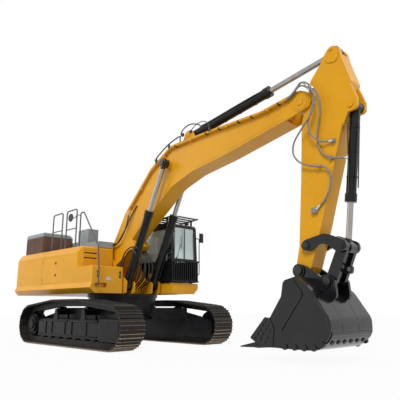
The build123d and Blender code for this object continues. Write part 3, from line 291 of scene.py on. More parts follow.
# Track steel, bare and brown on the outer tips of the grousers: the distance from the line between the two
# wheels' axles tells a tip, except on the upper run, which the carriers lift
def trackFinish():
    material, tree, shader, coords = varied("steel", "wornTrackSteel")

    def step(operation, first, second=0.0):
        return addNode(tree, "Math", {0: first, 1: second}, operation).outputs[0]

    place = addNode(tree, "SeparateXYZ", {0: coords})
    x, z = place.outputs["X"], place.outputs["Z"]
    held = step("MINIMUM", step("MAXIMUM", x, swingX - axleX), swingX + axleX)
    away = step("SUBTRACT", x, held)
    height = step("SUBTRACT", z, axleZ)
    far = step("SQRT", step("ADD", step("MULTIPLY", away, away), step("MULTIPLY", height, height)))
    tip = addNode(tree, "MapRange", {"Value": far, "From Min": wear["from"], "From Max": wear["to"]})
    onEnd = step("GREATER_THAN", step("ABSOLUTE", away), wear["past"])
    share = step("MULTIPLY", tip.outputs[0], step("MAXIMUM", onEnd, step("LESS_THAN", height, 0.0)))
    speck = addNode(tree, "TexNoise", {"Scale": wear["speckScale"], "Vector": coords})
    spread = step("MULTIPLY", speck.outputs["Fac"], wear["speckShare"])
    share = step("MULTIPLY", share, step("MINIMUM", spread, 1.0))
    colour = shader.inputs["Base Color"].links[0].from_socket
    mix = addNode(tree, "Mix", {0: share, 6: colour, 7: wear["tone"]}, dataType="RGBA")
    tree.links.new(mix.outputs[2], shader.inputs["Base Color"])
    return material


finishes["wornTrack"] = trackFinish()
paintedEye = 0.19
for rodName, pin in (("boomRod", (2.61, 5.37)), ("bucketRod", (8.15, 2.37)), ("stickRod", (8.19, 6.93))):
    finishes[rodName] = rodFinish(f"{rodName}Plate", pin, paintedEye)

tread = {"scale": 26, "rim": 0.30, "top": 0.22, "strength": 0.5}


# Raised tread on the walking surfaces: rows of round dots as a bump over the grey paint
def treadFinish():
    material, tree, shader, place = varied("grey", "treadPlate")
    relief = next(node for node in tree.nodes if node.type == "BUMP")
    cells = addNode(tree, "TexVoronoi", {"Scale": tread["scale"], "Randomness": 0.0, "Vector": place})
    spots = addNode(tree, "MapRange", {
        "Value": cells.outputs["Distance"], "From Min": tread["rim"], "From Max": tread["top"]})
    tree.links.new(spots.outputs[0], relief.inputs["Height"])
    relief.inputs["Strength"].default_value = tread["strength"]
    return material


finishes["tread"] = treadFinish()

# node: finish, where it isn't the record's own slot
nodeFinish = {
    "carbody": "frameBlack", "swing_bearing": "frameBlack", "track_frame_right": "frameBlack",
    "track_frame_left": "frameBlack", "final_drives": "frameBlack", "idlers": "frameBlack",
    "track_rollers": "frameBlack", "top_deck": "tread", "bucket": "bucketBlack", "bucket_link": "bucketBlack",
    "guide_links": "bucketBlack", "track_right": "wornTrack", "track_left": "wornTrack", "stick_hoses": "hoseGrey",
    "boom_cylinder_right_rod": "boomRod", "boom_cylinder_left_rod": "boomRod", "bucket_cylinder_rod": "bucketRod",
    "stick_cylinder_rod": "stickRod"}
slotOf = {part["node"]: part["material_slot"] for part in frame["record"]["subparts"]}
for name, node in nodes.items():
    finish = finishes[nodeFinish.get(name, slotOf[name])]
    for slot in node.material_slots:
        slot.material = finish

print("stage: making tools")
trees = {}


def hexHead(form, place, outward, size):
    turn = Vector(outward).to_track_quat("Z", "Y").to_matrix().to_4x4()
    foot = Matrix.Translation(place) @ turn
    bmesh.ops.create_cone(form, cap_ends=True, segments=14, radius1=size, radius2=size * 0.92, depth=size * 0.3,
                          matrix=foot @ Matrix.Translation((0, 0, size * 0.1)))
    bmesh.ops.create_cone(form, cap_ends=True, segments=6, radius1=size * 0.7, radius2=size * 0.64, depth=size * 0.7,
                          matrix=foot @ Matrix.Translation((0, 0, size * 0.5)))


def roundedBox(form, low, high, edge, segments=2):
    low, high = Vector(low), Vector(high)
    place = Matrix.Translation((low + high) / 2) @ Matrix.Diagonal((*(high - low), 1))
    made = bmesh.ops.create_cube(form, size=1, matrix=place)["verts"]
    edges = list({e for v in made for e in v.link_edges})
    bmesh.ops.bevel(form, geom=edges, offset=edge, affect="EDGES", segments=segments, profile=0.5, material=-1)


def rod(form, start, end, radius, segments=20, radius2=None, edge=0.0):
    start, end = Vector(start), Vector(end)
    turn = (end - start).to_track_quat("Z", "Y").to_matrix().to_4x4()
    place = Matrix.Translation((start + end) / 2) @ turn
    made = bmesh.ops.create_cone(form, cap_ends=True, segments=segments, radius1=radius, radius2=radius2 or radius,
                                 depth=(end - start).length, matrix=place)["verts"]
    if edge:
        rims = [e for e in {e for v in made for e in v.link_edges} if any(len(f.verts) > 4 for f in e.link_faces)]
        bmesh.ops.bevel(form, geom=rims, offset=edge, affect="EDGES", segments=2, profile=0.5, material=-1)


# A collar: a square profile spun round an axis, open in the middle
def collar(form, middle, along, inner, outer, thick, steps=40):
    along = Vector(along).normalized()
    side = along.orthogonal().normalized()
    corners = [
        form.verts.new(Vector(middle) + side * reach + along * shift)
        for reach, shift in ((inner, -thick / 2), (outer, -thick / 2), (outer, thick / 2), (inner, thick / 2))]
    edges = [form.edges.new((corners[index], corners[(index + 1) % 4])) for index in range(4)]
    bmesh.ops.spin(form, geom=corners + edges, cent=middle, axis=along, angle=2 * math.pi, steps=steps, use_merge=True)


def placePiece(name, mesh, body, finish):
    piece = bpy.data.objects.new(name, mesh)
    bpy.context.scene.collection.objects.link(piece)
    mesh.materials.append(finishes[finish])
    mesh.shade_smooth()
    mesh.set_sharp_from_angle(angle=math.radians(38))
    if body:
        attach(piece, body)
    return piece


def makePiece(name, form, body, finish, slot):
    bmesh.ops.recalc_face_normals(form, faces=form.faces)
    mesh = bpy.data.meshes.new(name)
    form.to_mesh(mesh)
    form.free()
    return placePiece(name, mesh, body, finish)


# The place where a ray from a point meets a node, and the surface's own direction there
def onSurface(node, start, toward):
    if node not in trees:
        mesh = nodes[node].data
        places = [vert.co for vert in mesh.vertices]
        trees[node] = BVHTree.FromPolygons(places, [tuple(face.vertices) for face in mesh.polygons])
    hit, normal = trees[node].ray_cast(Vector(start), Vector(toward).normalized())[:2]
    if hit is None:
        print("no surface for", node, tuple(round(v, 2) for v in start))
        return None, None
    return hit, -normal if normal.dot(Vector(toward)) > 0 else normal


# A disc on a surface where a ray meets it
def stud(form, node, start, toward, radius, out, deep=0.0, segments=24, edge=0.0):
    hit, normal = onSurface(node, start, toward)
    if hit:
        rod(form, hit - normal * deep, hit + normal * out, radius, segments, edge=edge)
    return hit, normal


def bolts(form, node, places, toward, size, proud=0.0):
    for place in places:
        hit, normal = onSurface(node, place, toward)
        if hit:
            hexHead(form, hit + normal * proud, normal, size)


def boltSet(name, body, node, toward, places, size, finish, slot="black"):
    form = bmesh.new()
    bolts(form, node, places, toward, size)
    makePiece(name, form, body, finish, slot)


# Places in a ring round an axis along y
def ringPlaces(centre, radius, count, start=0.0):
    angles = [math.radians(start + 360 * index / count) for index in range(count)]
    return [centre + Vector((radius * math.cos(angle), 0, radius * math.sin(angle))) for angle in angles]


tubeSteps = {"round": 4, "along": 6, "order": 3}


# A smooth tube along its points, as a mesh
def tubeMesh(name, points, radius):
    curve = bpy.data.curves.new(name, "CURVE")
    curve.dimensions = "3D"
    curve.bevel_depth = radius
    curve.bevel_resolution = tubeSteps["round"]
    curve.resolution_u = tubeSteps["along"]
    curve.use_fill_caps = True
    spline = curve.splines.new("NURBS")
    spline.points.add(len(points) - 1)
    for point, place in zip(spline.points, points):
        point.co = (*place, 1)
    spline.order_u = tubeSteps["order"]
    spline.use_endpoint_u = True
    holder = bpy.data.objects.new(name, curve)
    mesh = bpy.data.meshes.new_from_object(holder)
    bpy.data.objects.remove(holder)
    bpy.data.curves.remove(curve)
    return mesh


# A bead laid over a surface through the places where rays from a row of points meet it
def bead(form, node, starts, toward, radius, gap=0.2):
    last = None
    for start in starts:
        hit, normal = onSurface(node, start, toward)
        if hit and last and (hit - last).length < gap:
            rod(form, last, hit, radius, 8)
        last = hit


# Pieces made of plain boxes and rods, from rows of: name, body, finish, slot, boxes (low, high, edge), rods
# (start, end, radius, segments, edge)
def assemble(rows):
    for name, body, finish, slot, boxes, rods in rows:
        form = bmesh.new()
        for low, high, *edging in boxes:
            roundedBox(form, at(*low), at(*high), *edging)
        for start, end, radius, segments, edge in rods:
            rod(form, at(*start), at(*end), radius, segments, edge=edge)
        makePiece(name, form, body, finish, slot)


print("stage: undercarriage")
clearY = 2.4  # outside everything on the machine's sides, where rays start
wheels = {
    # name, node, which end, ring radius, bolts, size
    "rings": [
        ("driveBolts", "final_drives", -1, 0.19, 12, 0.02),
        ("driveCoverBolts", "final_drives", -1, 0.10, 8, 0.014),
        ("idlerBolts", "idlers", 1, 0.085, 6, 0.014)],
    "frameEnds": (1.82, 2.12, 2.42, 2.64), "frameEndsZ": (0.30, 0.76), "frameSize": 0.018, "frameMiddleZ": 0.53,
    "frameMiddle": (-1.55, -1.15, -0.75, -0.35, 0.05, 0.45, 0.85, 1.25),
    "rollerFirst": -1.75, "rollerPitch": 0.5, "rollers": 8, "rollerZ": 0.30,
    "cap": 0.055, "capTall": 0.02, "plug": 0.018, "plugTall": 0.028}


def trackDetails():
    for side, label in bothSides:
        outside = (0, -side, 0)
        y = side * clearY
        for name, node, end, radius, count, size in wheels["rings"]:
            places = ringPlaces(at(end * axleX, y, axleZ), radius, count)
            boltSet(f"{name}_{label}", "undercarriage", node, outside, places, size, "boltDark")
        rows = [(x, z) for x in wheels["frameEnds"] for z in wheels["frameEndsZ"]]
        rows += [(x, wheels["frameMiddleZ"]) for x in wheels["frameMiddle"]]
        places = [at(x, y, z) for x, z in rows]
        size = wheels["frameSize"]
        boltSet(f"frameBolts_{label}", "undercarriage", f"track_frame_{label}", outside, places, size, "boltDark")
        form = bmesh.new()
        for index in range(wheels["rollers"]):
            x = wheels["rollerFirst"] + wheels["rollerPitch"] * index
            start = at(x, y, wheels["rollerZ"])
            hit, normal = stud(form, "track_rollers", start, outside, wheels["cap"], wheels["capTall"], edge=0.006)
            if hit:
                rod(form, hit + normal * wheels["capTall"], hit + normal * wheels["plugTall"], wheels["plug"], 12)
        makePiece(f"rollerCaps_{label}", form, "undercarriage", "frameBlack", "black")


trackDetails()

edges = {
    # from x, to x, z, radius: the upper edge is in two lengths
    "rolled": [(-1.72, 0.0, 0.735, 0.026), (0.12, 1.62, 0.735, 0.026), (-1.72, 1.62, 0.335, 0.022)],
    "ribs": (-1.35, -0.95, -0.15, 0.25, 1.05), "ribRayZ": 0.45, "ribZ": (0.345, 0.725), "ribHalf": 0.012,
    "ribOut": 0.022, "ribIn": 0.004}


# Rolled edges along the frames' outer faces and the upright ribs between them
def frameEdges():
    for side, label in bothSides:
        frameName = f"track_frame_{label}"
        toward = (0, -side, 0)
        form = bmesh.new()
        for x0, x1, z, radius in edges["rolled"]:
            first, last = (onSurface(frameName, at(x, side * clearY, z), toward)[0] for x in (x0, x1))
            if first and last:
                rod(form, first, Vector((last.x, first.y, last.z)), radius, 16, edge=0.006)
        low, high = edges["ribZ"]
        half = edges["ribHalf"]
        for x in edges["ribs"]:
            hit = onSurface(frameName, at(x, side * clearY, edges["ribRayZ"]), toward)[0]
            if hit:
                ends = sorted((hit.y - side * edges["ribIn"], hit.y + side * edges["ribOut"]))
                roundedBox(form, (hit.x - half, ends[0], low), (hit.x + half, ends[1], high), 0.003)
        makePiece(f"frameEdges_{label}", form, "undercarriage", "frameBlack", "black")


frameEdges()

shoes = {
    "middle": 1.72, "turns": range(-3, 4), "turn": 0.50, "nudges": range(-7, 8), "nudge": 0.04, "away": 1.1,
    "offsets": (-0.16, -0.06, 0.06, 0.16), "size": 0.019, "facing": 0.9}


# Bolt heads on the shoe plates round both wheels: of the rays near each mark, the one that goes deepest
# has found a plate between two grousers
def shoeBolts():
    away = shoes["away"]
    for side, label in bothSides:
        track = f"track_{label}"
        form = bmesh.new()
        for end in (1, -1):
            centre = at(axleX * end, side * shoes["middle"], axleZ)
            for index in shoes["turns"]:
                angle = shoes["turn"] * index
                outward = Vector((math.cos(angle) * end, 0, math.sin(angle)))
                best = None
                for nudge in shoes["nudges"]:
                    turned = Matrix.Rotation(nudge * shoes["nudge"], 3, "Y") @ outward
                    hit = onSurface(track, centre + turned * away, -turned)[0]
                    if hit and (best is None or (hit - centre).length < best[0]):
                        best = ((hit - centre).length, turned)
                if best:
                    outward = best[1]
                    for shift in shoes["offsets"]:
                        hit, normal = onSurface(track, centre + outward * away + Vector((0, shift, 0)), -outward)
                        if hit and normal.dot(outward) > shoes["facing"]:
                            hexHead(form, hit, normal, shoes["size"])
        makePiece(f"shoeBolts_{label}", form, "undercarriage", "boltDark", "steel")


shoeBolts()

print("stage: arm")
armPins = [
    # name, body, node, centre, reach, cap radius, bolt ring, bolts; black but where the arm's own yellow is named
    ("boomFoot", "house", "house_frame", (-0.22, 2.55), 0.9, 0.11, 0.07, 4),
    ("boomNose", "boom", "boom", (7.33, 5.88), 0.8, 0.0, 0.10, 3, "yellow"),
    ("stickEar", "stick", "stick", (8.19, 6.93), 0.8, 0.05, 0.0, 1, "yellow"),
    ("bucketCylinderFoot", "stick", "stick", (8.56, 5.45), 0.8, 0.0, 0.055, 3, "yellow"),
    ("guidePin", "stick", "stick", (7.30, 2.46), 0.9, 0.068, 0.035, 3),
    ("bucketPin", "bucket", "bucket", (7.10, 1.92), 1.2, 0.105, 0.075, 4),
    ("linkPin", "bucket", "bucket", (7.80, 1.66), 1.2, 0.085, 0.055, 4),
    ("guideEnd", "guide_links", "guide_links", (8.15, 2.37), 0.9, 0.0, 0.04, 3),
    ("boomRodEye", "boom_rod_right", "boom_cylinder_right_rod", (2.61, 5.37), 1.2, 0.0, 0.05, 3),
    ("boomRodEyeLeft", "boom_rod_left", "boom_cylinder_left_rod", (2.61, 5.37), 1.2, 0.0, 0.05, 3)]
pinSizes = {"capTall": 0.018, "bolt": 0.015, "start": 20}


def pinDetails():
    capTall = pinSizes["capTall"]
    for name, body, node, (x, z), reach, cap, ring, count, *paint in armPins:
        sides = (-1,) if name == "boomRodEye" else (1,) if name == "boomRodEyeLeft" else (-1, 1)
        form = bmesh.new()
        for side in sides:
            toward = (0, -side, 0)
            if cap:
                stud(form, node, at(x, side * reach, z), toward, cap, capTall, segments=32, edge=0.005)
            places = ringPlaces(at(x, side * reach, z), ring, count, pinSizes["start"])
            bolts(form, node, places, toward, pinSizes["bolt"], capTall if cap else 0.0)
        makePiece(f"{name}Plate", form, body, *((paint[0], paint[0]) if paint else ("boltDark", "black")))


pinDetails()

boom = {
    "sideY": 0.291, "boltPlaces": ((1.33, 4.82), (2.43, 5.64), (3.63, 5.88), (5.03, 5.91), (6.43, 5.94)),
    "boltReach": 0.7, "boltApart": 0.022, "bolt": 0.010,
    "clampPlaces": ((2.95, 5.858), (4.25, 5.908), (4.75, 5.910), (5.45, 5.910), (5.90, 5.910), (6.75, 5.995)),
    "clampHalf": (0.022, 0.030), "clampOut": 0.396,
    "seams": [
        [(0.55, 4.20), (1.15, 4.85), (1.75, 5.36)], [(2.75, 5.88), (3.3, 5.93)], [(3.7, 5.93), (6.0, 5.93)],
        [(6.15, 5.93), (7.0, 6.06)], [(0.62, 3.22), (1.32, 3.80)], [(1.45, 3.90), (2.62, 4.70)],
        [(3.75, 5.04), (4.75, 5.20)], [(4.95, 5.23), (6.8, 5.60)]],
    "seam": 0.006,
    "doublers": (((2.61, 5.37), 0.24), ((7.33, 5.88), 0.235)), "doublerY": 0.285, "doublerThick": 0.014}


# Clamps and bolts of the boom's pipes, seams along its plates, doublers round the cylinder boss and the nose
def boomDetails():
    form = bmesh.new()
    for x, z in boom["boltPlaces"]:
        for side in (-1, 1):
            hit, normal = onSurface("boom_pipes", at(x, side * boom["boltReach"], z), (0, -side, 0))
            if hit:
                for shift in (-boom["boltApart"], boom["boltApart"]):
                    hexHead(form, hit + Vector((0, 0, shift)), normal, boom["bolt"])
    makePiece("pipeClampBolts", form, "boom", "boltSteel", "black")
    form = bmesh.new()
    wide, tall = boom["clampHalf"]
    for x, z in boom["clampPlaces"]:
        for side in (-1, 1):
            ends = sorted((side * boom["sideY"], side * boom["clampOut"]))
            roundedBox(form, at(x - wide, ends[0], z - tall), at(x + wide, ends[1], z + tall), 0.007)
    makePiece("pipeClamps", form, "boom", "rubberBlack", "black")
    form = bmesh.new()
    for line in boom["seams"]:
        for side in (-1, 1):
            places = [at(x, side * boom["sideY"], z) for x, z in line]
            for start, end in zip(places, places[1:]):
                rod(form, start, end, boom["seam"], 8)
    makePiece("boomSeams", form, "boom", "yellowWeld", "yellow")
    form = bmesh.new()
    for side in (-1, 1):
        for (x, z), radius in boom["doublers"]:
            start = at(x, side * boom["doublerY"], z)
            rod(form, start, start + Vector((0, side * boom["doublerThick"], 0)), radius, 48, edge=0.004)
    makePiece("boomDoublers", form, "boom", "yellow", "yellow")


boomDetails()
assemble([("boomTopPad", "boom", "yellow", "yellow", [((6.85, -0.20, 6.10), (6.98, 0.20, 6.19), 0.012)], [])])

# Lines over the arm that aren't in the frame: name, body, radius, finish, x y z points
armLines = [
    ("footLoopA", "boom", 0.021, "hoseRubber",
     [(1.05, -0.32, 4.32), (0.80, -0.33, 4.05), (0.60, -0.40, 3.62), (0.42, -0.47, 3.30), (0.18, -0.47, 3.10),
      (-0.02, -0.46, 3.10)]),
    ("footLoopB", "boom", 0.021, "hoseRubber",
     [(1.12, 0.32, 4.40), (0.86, 0.33, 4.10), (0.62, 0.40, 3.66), (0.44, 0.47, 3.32), (0.18, 0.47, 3.12),
      (-0.02, 0.46, 3.10)]),
    ("bucketCylinderLine", "bucket_barrel", 0.014, "pipeBlack",
     [(8.43, -0.13, 5.10), (8.40, -0.135, 4.95), (8.36, -0.135, 4.20), (8.33, -0.135, 3.70), (8.31, -0.12, 3.52)]),
    ("bucketCylinderLineB", "bucket_barrel", 0.014, "pipeBlack",
     [(8.66, -0.09, 5.02), (8.62, -0.09, 4.60), (8.56, -0.09, 4.00), (8.52, -0.09, 3.60)]),
    *[(f"boomCylinderLine{label.title()}", f"boom_barrel_{label}", 0.016, "pipeBlack",
       [(1.10, side * 0.63, 2.02), (1.22, side * 0.64, 2.34), (1.52, side * 0.64, 2.98), (1.80, side * 0.64, 3.56),
        (1.86, side * 0.62, 3.72)]) for side, label in bothSides],
    ("stickCylinderLine", "stick_barrel", 0.015, "pipeBlack",
     [(3.75, -0.12, 6.33), (3.95, -0.14, 6.32), (4.90, -0.14, 6.47), (5.90, -0.14, 6.62), (6.10, -0.12, 6.65)])]
for name, body, radius, finish, route in armLines:
    mesh = tubeMesh(name, [at(*place) for place in route], radius)
    placePiece(name, mesh, body, finish)

deckHoseY = (-0.26, -0.16, -0.05, 0.06, 0.17, 0.26)
# start and end of each hose end
hoseEnds = {
    "boom": [
        ((1.90, -0.314, 5.65), (1.99, -0.314, 5.705)), ((3.19, -0.314, 6.165), (3.10, -0.314, 6.15)),
        *[((0.60, y, 3.06), (0.70, y, 3.00)) for y in deckHoseY],
        ((0.64, -0.345, 4.16), (0.64, -0.346, 4.06)), ((-0.12, -0.45, 3.17), (-0.04, -0.45, 3.14))],
    "stick": [
        ((7.59, -0.432, 6.19), (7.65, -0.432, 6.115)), ((7.61, -0.386, 6.11), (7.67, -0.386, 6.03)),
        ((7.66, -0.340, 6.16), (7.73, -0.340, 6.07)), ((7.60, -0.262, 3.25), (7.69, -0.264, 3.33)),
        ((8.08, -0.262, 4.72), (8.00, -0.28, 4.725)), ((8.38, -0.165, 4.29), (8.31, -0.19, 4.295))]}
endSizes = {"radius": 0.026, "nut": 0.033, "nutFrom": 0.002, "nutTo": 0.028}


# Swaged silver ends and hex nuts where the hoses meet what carries them
def hoseFittings():
    for body, ends in hoseEnds.items():
        form = bmesh.new()
        for start, end in ends:
            start, end = at(*start), at(*end)
            along = (end - start).normalized()
            rod(form, start, end, endSizes["radius"], 24, edge=0.003)
            rod(form, start - along * endSizes["nutFrom"], start + along * endSizes["nutTo"], endSizes["nut"], 6)
        makePiece(f"{body}HoseEnds", form, body, "zinc", "chrome")


hoseFittings()

# over the boom's nose
noseRoutes = [
    [(7.00, -0.320, 6.03), (7.18, -0.325, 6.10), (7.36, -0.35, 6.32), (7.50, -0.41, 6.30), (7.59, -0.432, 6.19)],
    [(7.00, -0.368, 6.03), (7.16, -0.37, 6.08), (7.36, -0.38, 6.24), (7.50, -0.385, 6.22), (7.61, -0.386, 6.11)],
    [(6.90, -0.318, 5.99), (7.14, -0.318, 6.14), (7.38, -0.32, 6.36), (7.55, -0.335, 6.30), (7.66, -0.340, 6.16)]]
# Hoses between two bodies: name, first body, second body, radius, finish, which two of the points stay with the
# bodies, points
hoseRoutes = [(f"noseHose{letter}", "boom", "stick", 0.02, "hoseGrey", (0, -1), route)
              for letter, route in zip("ABC", noseRoutes)]
# from the deck to the boom's underside
for index, y in enumerate(deckHoseY):
    lift = 0.04 * (index % 3)
    hoseRoutes.append((f"deckHose{index}", "house", "boom", 0.024, "hoseRubber", (1, -2), [
        (0.62, y, 1.71), (0.74, y * 1.05, 1.80), (1.02 + lift, y * 1.1, 1.98), (1.14 + lift, y, 2.30 + lift),
        (1.04 + lift, y, 2.62), (0.84, y, 2.88 + lift / 3), (0.60, y, 3.06)]))
# loops from the deck to the boom cylinders
for side, label in bothSides:
    for index, shift in enumerate((0.0, 0.09)):
        barrel = f"boom_barrel_{label}"
        hoseRoutes.append((f"cylinderLoop{label.title()}{index}", "house", barrel, 0.021, "hoseRubber", (1, -2), [
            (0.70 - shift, side * 0.60, 1.71), (0.78 - shift, side * 0.63, 2.15),
            (0.96 - shift, side * 0.67, 2.60 + shift), (1.22, side * 0.70, 2.84 + shift),
            (1.50 + shift, side * 0.70, 2.84 + shift), (1.57 + shift, side * 0.68, 2.66 + 2 * shift),
            (1.43 + shift, side * 0.60, 2.64 + 2 * shift)]))
for side, label in bothSides:
    hoseRoutes.append((f"stickCylinderFeed{label.title()}", "boom", "stick_barrel", 0.018, "hoseRubber", (1, -2), [
        (2.98, side * 0.20, 5.98), (2.99, side * 0.22, 6.14), (3.10, side * 0.235, 6.36), (3.38, side * 0.225, 6.47),
        (3.64, side * 0.19, 6.43), (3.78, side * 0.14, 6.36)]))
for name, first, second, radius, finish, (start, end), route in hoseRoutes:
    points = [at(*place) for place in route]
    piece = placePiece(name, tubeMesh(name, points, radius), None, finish)
    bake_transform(piece)

glands = {
    # name, body, foot pin, rod pin, gland distance, y, barrel radius
    "rows": [
        *[(f"boomGland{label.title()}", f"boom_barrel_{label}", (0.90, 1.78), (2.61, 5.37), 2.45, side * 0.5, 0.122)
          for side, label in bothSides],
        ("stickGland", "stick_barrel", (3.35, 6.17), (8.19, 6.93), 2.95, 0, 0.130),
        ("bucketGland", "bucket_barrel", (8.56, 5.45), (8.15, 2.37), 2.13, 0, 0.110)],
    # behind the gland, thickness, height
    "bands": [(0.16, 0.05, 0.014), (0.55, 0.03, 0.008), (1.1, 0.03, 0.008), (1.65, 0.03, 0.008)],
    "sunk": 0.004, "bolts": 10, "boltIn": 0.014, "boltBack": 0.012, "bolt": 0.011}


# Hollow bands round the barrels and a ring of bolts on each gland
def cylinderDetails():
    across = Vector((0, 1, 0))
    for name, body, foot, eye, gland, y, radius in glands["rows"]:
        form = bmesh.new()
        start = at(foot[0], y, foot[1])
        along = (at(eye[0], y, eye[1]) - start).normalized()
        head = start + along * gland
        for back, thick, extra in glands["bands"]:
            collar(form, head - along * back, along, radius - glands["sunk"], radius + extra, thick)
        side = along.cross(across).normalized()
        for index in range(glands["bolts"]):
            angle = 2 * math.pi * index / glands["bolts"]
            outward = side * math.cos(angle) + across * math.sin(angle)
            place = head - along * glands["boltBack"] + outward * (radius - glands["boltIn"])
            hexHead(form, place, along, glands["bolt"])
        makePiece(name, form, body, "black", "black")


cylinderDetails()

bucket = {
    "sideY": 1.2, "backX": 9.2, "facing": (-1, 0, 0),
    "seams": [[(7.50, 1.36), (7.25, 1.06), (6.80, 0.46)], [(7.80, 1.30), (8.02, 1.02), (8.08, 0.70)]],
    "seamRadius": 0.007, "seamStep": 0.03,
    "cutterBolts": [
        (6.56, 0.84), (6.48, 0.76), (6.63, 0.76), (6.42, 0.66), (6.56, 0.67), (6.66, 0.62), (6.34, 0.57), (6.48, 0.57),
        (6.60, 0.51), (6.26, 0.48), (6.41, 0.47), (6.54, 0.41)],
    "cutterBolt": 0.034,
    "backSeams": (-0.42, 0.26), "backZ": (1.20, 1.10, 1.00, 0.90, 0.80, 0.70, 0.60), "backRadius": 0.006,
    "marks": (-0.28, 0.32), "markZ": 0.99, "mark": (0.028, 0.002, 0.004),  # radius, out, deep
    "bandZ": (0.66, 0.58, 0.46), "bandY": -0.815, "bandWide": 1.63, "bandSteps": 16, "bandRadius": 0.005,
    "lugs": (-0.66, -0.42, -0.18, 0.08, 0.34, 0.60), "lugX": 8.02, "lug": (0.05, 0.03, 0.01)}


# Seams and round marks of the bucket, its cutters' bolts, the edges of the wear bands with a painted highlight, and
# the heel's lugs
def bucketDetails():
    facing, sideY, backX = (bucket[key] for key in ("facing", "sideY", "backX"))
    form = bmesh.new()
    for side in (-1, 1):
        for line in bucket["seams"]:
            hits = [onSurface("bucket", at(x, side * sideY, z), (0, -side, 0))[0] for x, z in line]
            for start, end in zip(hits, hits[1:]):
                if start and end and abs(start.y - end.y) < bucket["seamStep"]:
                    rod(form, start, end, bucket["seamRadius"], 8)
    makePiece("bucketSeams", form, "bucket", "blackWeld", "black")
    form = bmesh.new()
    for side in (-1, 1):
        places = [at(x, side * sideY, z) for x, z in bucket["cutterBolts"]]
        bolts(form, "bucket", places, (0, -side, 0), bucket["cutterBolt"])
    makePiece("cutterBolts", form, "bucket", "boltDark", "black")
    form = bmesh.new()
    for y in bucket["backSeams"]:
        bead(form, "bucket", [at(backX, y, z) for z in bucket["backZ"]], facing, bucket["backRadius"])
    for y in bucket["marks"]:
        stud(form, "bucket", at(backX, y, bucket["markZ"]), facing, *bucket["mark"])
    makePiece("bucketBackSeams", form, "bucket", "blackWeld", "black")
    # Painted highlight: beads of a light metal along the wear bands' edges stand for the light those edges catch
    form = bmesh.new()
    steps = bucket["bandSteps"]
    rowY = [bucket["bandY"] + bucket["bandWide"] * index / steps for index in range(steps + 1)]
    for z in bucket["bandZ"]:
        bead(form, "bucket", [at(backX, y, z) for y in rowY], facing, bucket["bandRadius"])
    makePiece("bucketBandEdges", form, "bucket", "bandEdgeHighlight", "steel")
    form = bmesh.new()
    for y in bucket["lugs"]:
        stud(form, "bucket", at(bucket["lugX"], y, -0.1), (0, 0, 1), *bucket["lug"], edge=0.006)
    makePiece("bucketHeelLugs", form, "bucket", "boltDark", "black")


bucketDetails()

print("stage: house")
panels = {
    # name, node, where a ray starts, its way, width, height
    "plates": [
        ("toolboxPlate", "toolbox", (1.6, -1.25, 1.96), (-1, 0, 0), 0.16, 0.10),
        ("sidePlateLeft", "left_body", (-1.2, clearY, 2.84), (0, -1, 0), 0.30, 0.12),
        ("rearPlate", "counterweight", (-5.0, 0.0, 2.20), (1, 0, 0), 0.30, 0.14)],
    "plateThick": 0.006,
    # name, node, the rays' way, their starts, size
    "bolts": [
        ("bodyBoltsRight", "right_body", (0, 1, 0),
         [(x, -clearY, z) for x in (-2.10, -1.45, -0.80, -0.20) for z in (1.66, 2.90)], 0.014),
        ("bodyBoltsLeft", "left_body", (0, -1, 0),
         [(x, clearY, z) for x in (-2.10, -1.45, -0.80) for z in (1.66, 2.90)], 0.014),
        ("toolboxBolts", "toolbox", (0, 1, 0), [(x, -clearY, z) for x in (0.58, 0.88) for z in (1.66, 2.00)], 0.013),
        ("weightBolts", "counterweight", (0, 0, -1), [(-4.14, y, 3.9) for y in (-1.2, -0.4, 0.4, 1.2)], 0.03)]}


# Blank plates and bolts along the panels
def houseDetails():
    for name, node, start, toward, wide, tall in panels["plates"]:
        hit, normal = onSurface(node, at(*start), toward)
        if hit:
            form = bmesh.new()
            across = Vector(toward).cross(Vector((0, 0, 1))).normalized()
            reach = Vector((abs(across.x) * wide / 2, abs(across.y) * wide / 2, tall / 2))
            corners = [hit - reach, hit + reach + Vector(toward) * -panels["plateThick"]]
            low, high = [Vector([pick(corner[i] for corner in corners) for i in range(3)]) for pick in (min, max)]
            roundedBox(form, low, high, 0.002, 1)
            makePiece(name, form, "house", "plateBare", "grey")
    for name, node, toward, places, size in panels["bolts"]:
        boltSet(name, "house", node, toward, [at(*place) for place in places], size, "boltSteel", "grey")


rubberFinish = ("rubberBlack", "black")
catchY = (-1.62, -0.84)
assemble([
    ("lidLatches", "house", *rubberFinish,
     [((1.0, y - 0.022, 2.00), (1.018, y + 0.022, 2.09), 0.005) for y in catchY],
     [((1.026, y, 2.03), (1.026, y, 2.17), 0.010, 14, 0.002) for y in catchY]),
    ("lidCatches", "toolbox_lid", *rubberFinish,
     [((1.0, y - 0.03, 2.135), (1.02, y + 0.03, 2.20), 0.006) for y in catchY], [])])
houseDetails()
# Painted shade: dark strips set in the right body's two louvre slots stand for the shade inside them
assemble([("louvreShades", "house", *rubberFinish,
           [((0.117, -1.615, z), (0.122, -1.155, z + 0.032), 0.001, 1) for z in (2.618, 2.773)], [])])

latch = {"shares": (0.3, 0.75), "in": 0.10, "radius": 0.045, "tall": 0.006, "grip": 0.014, "half": (0.012, 0.02)}


# Round flush latches of the service doors, each with a grip
def doorHandles():
    for side, label in bothSides:
        node = f"{label}_service_door"
        low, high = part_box(node)
        form = bmesh.new()
        for share in latch["shares"]:
            start = Vector((high[0] - latch["in"], side * clearY, low[2] + (high[2] - low[2]) * share))
            hit, normal = stud(
                form, node, start, (0, -side, 0), latch["radius"], latch["tall"], segments=28, edge=0.002)
            if hit:
                wide, tall = latch["half"]
                foot, top = hit + normal * latch["tall"], hit + normal * latch["grip"]
                foot.z -= tall
                top.z += tall
                roundedBox(form, (min(foot.x, top.x) - wide, min(foot.y, top.y), foot.z),
                           (max(foot.x, top.x) + wide, max(foot.y, top.y), top.z), 0.003)
        makePiece(f"{label}DoorLatch", form, node, "rubberBlack", "black")


doorHandles()

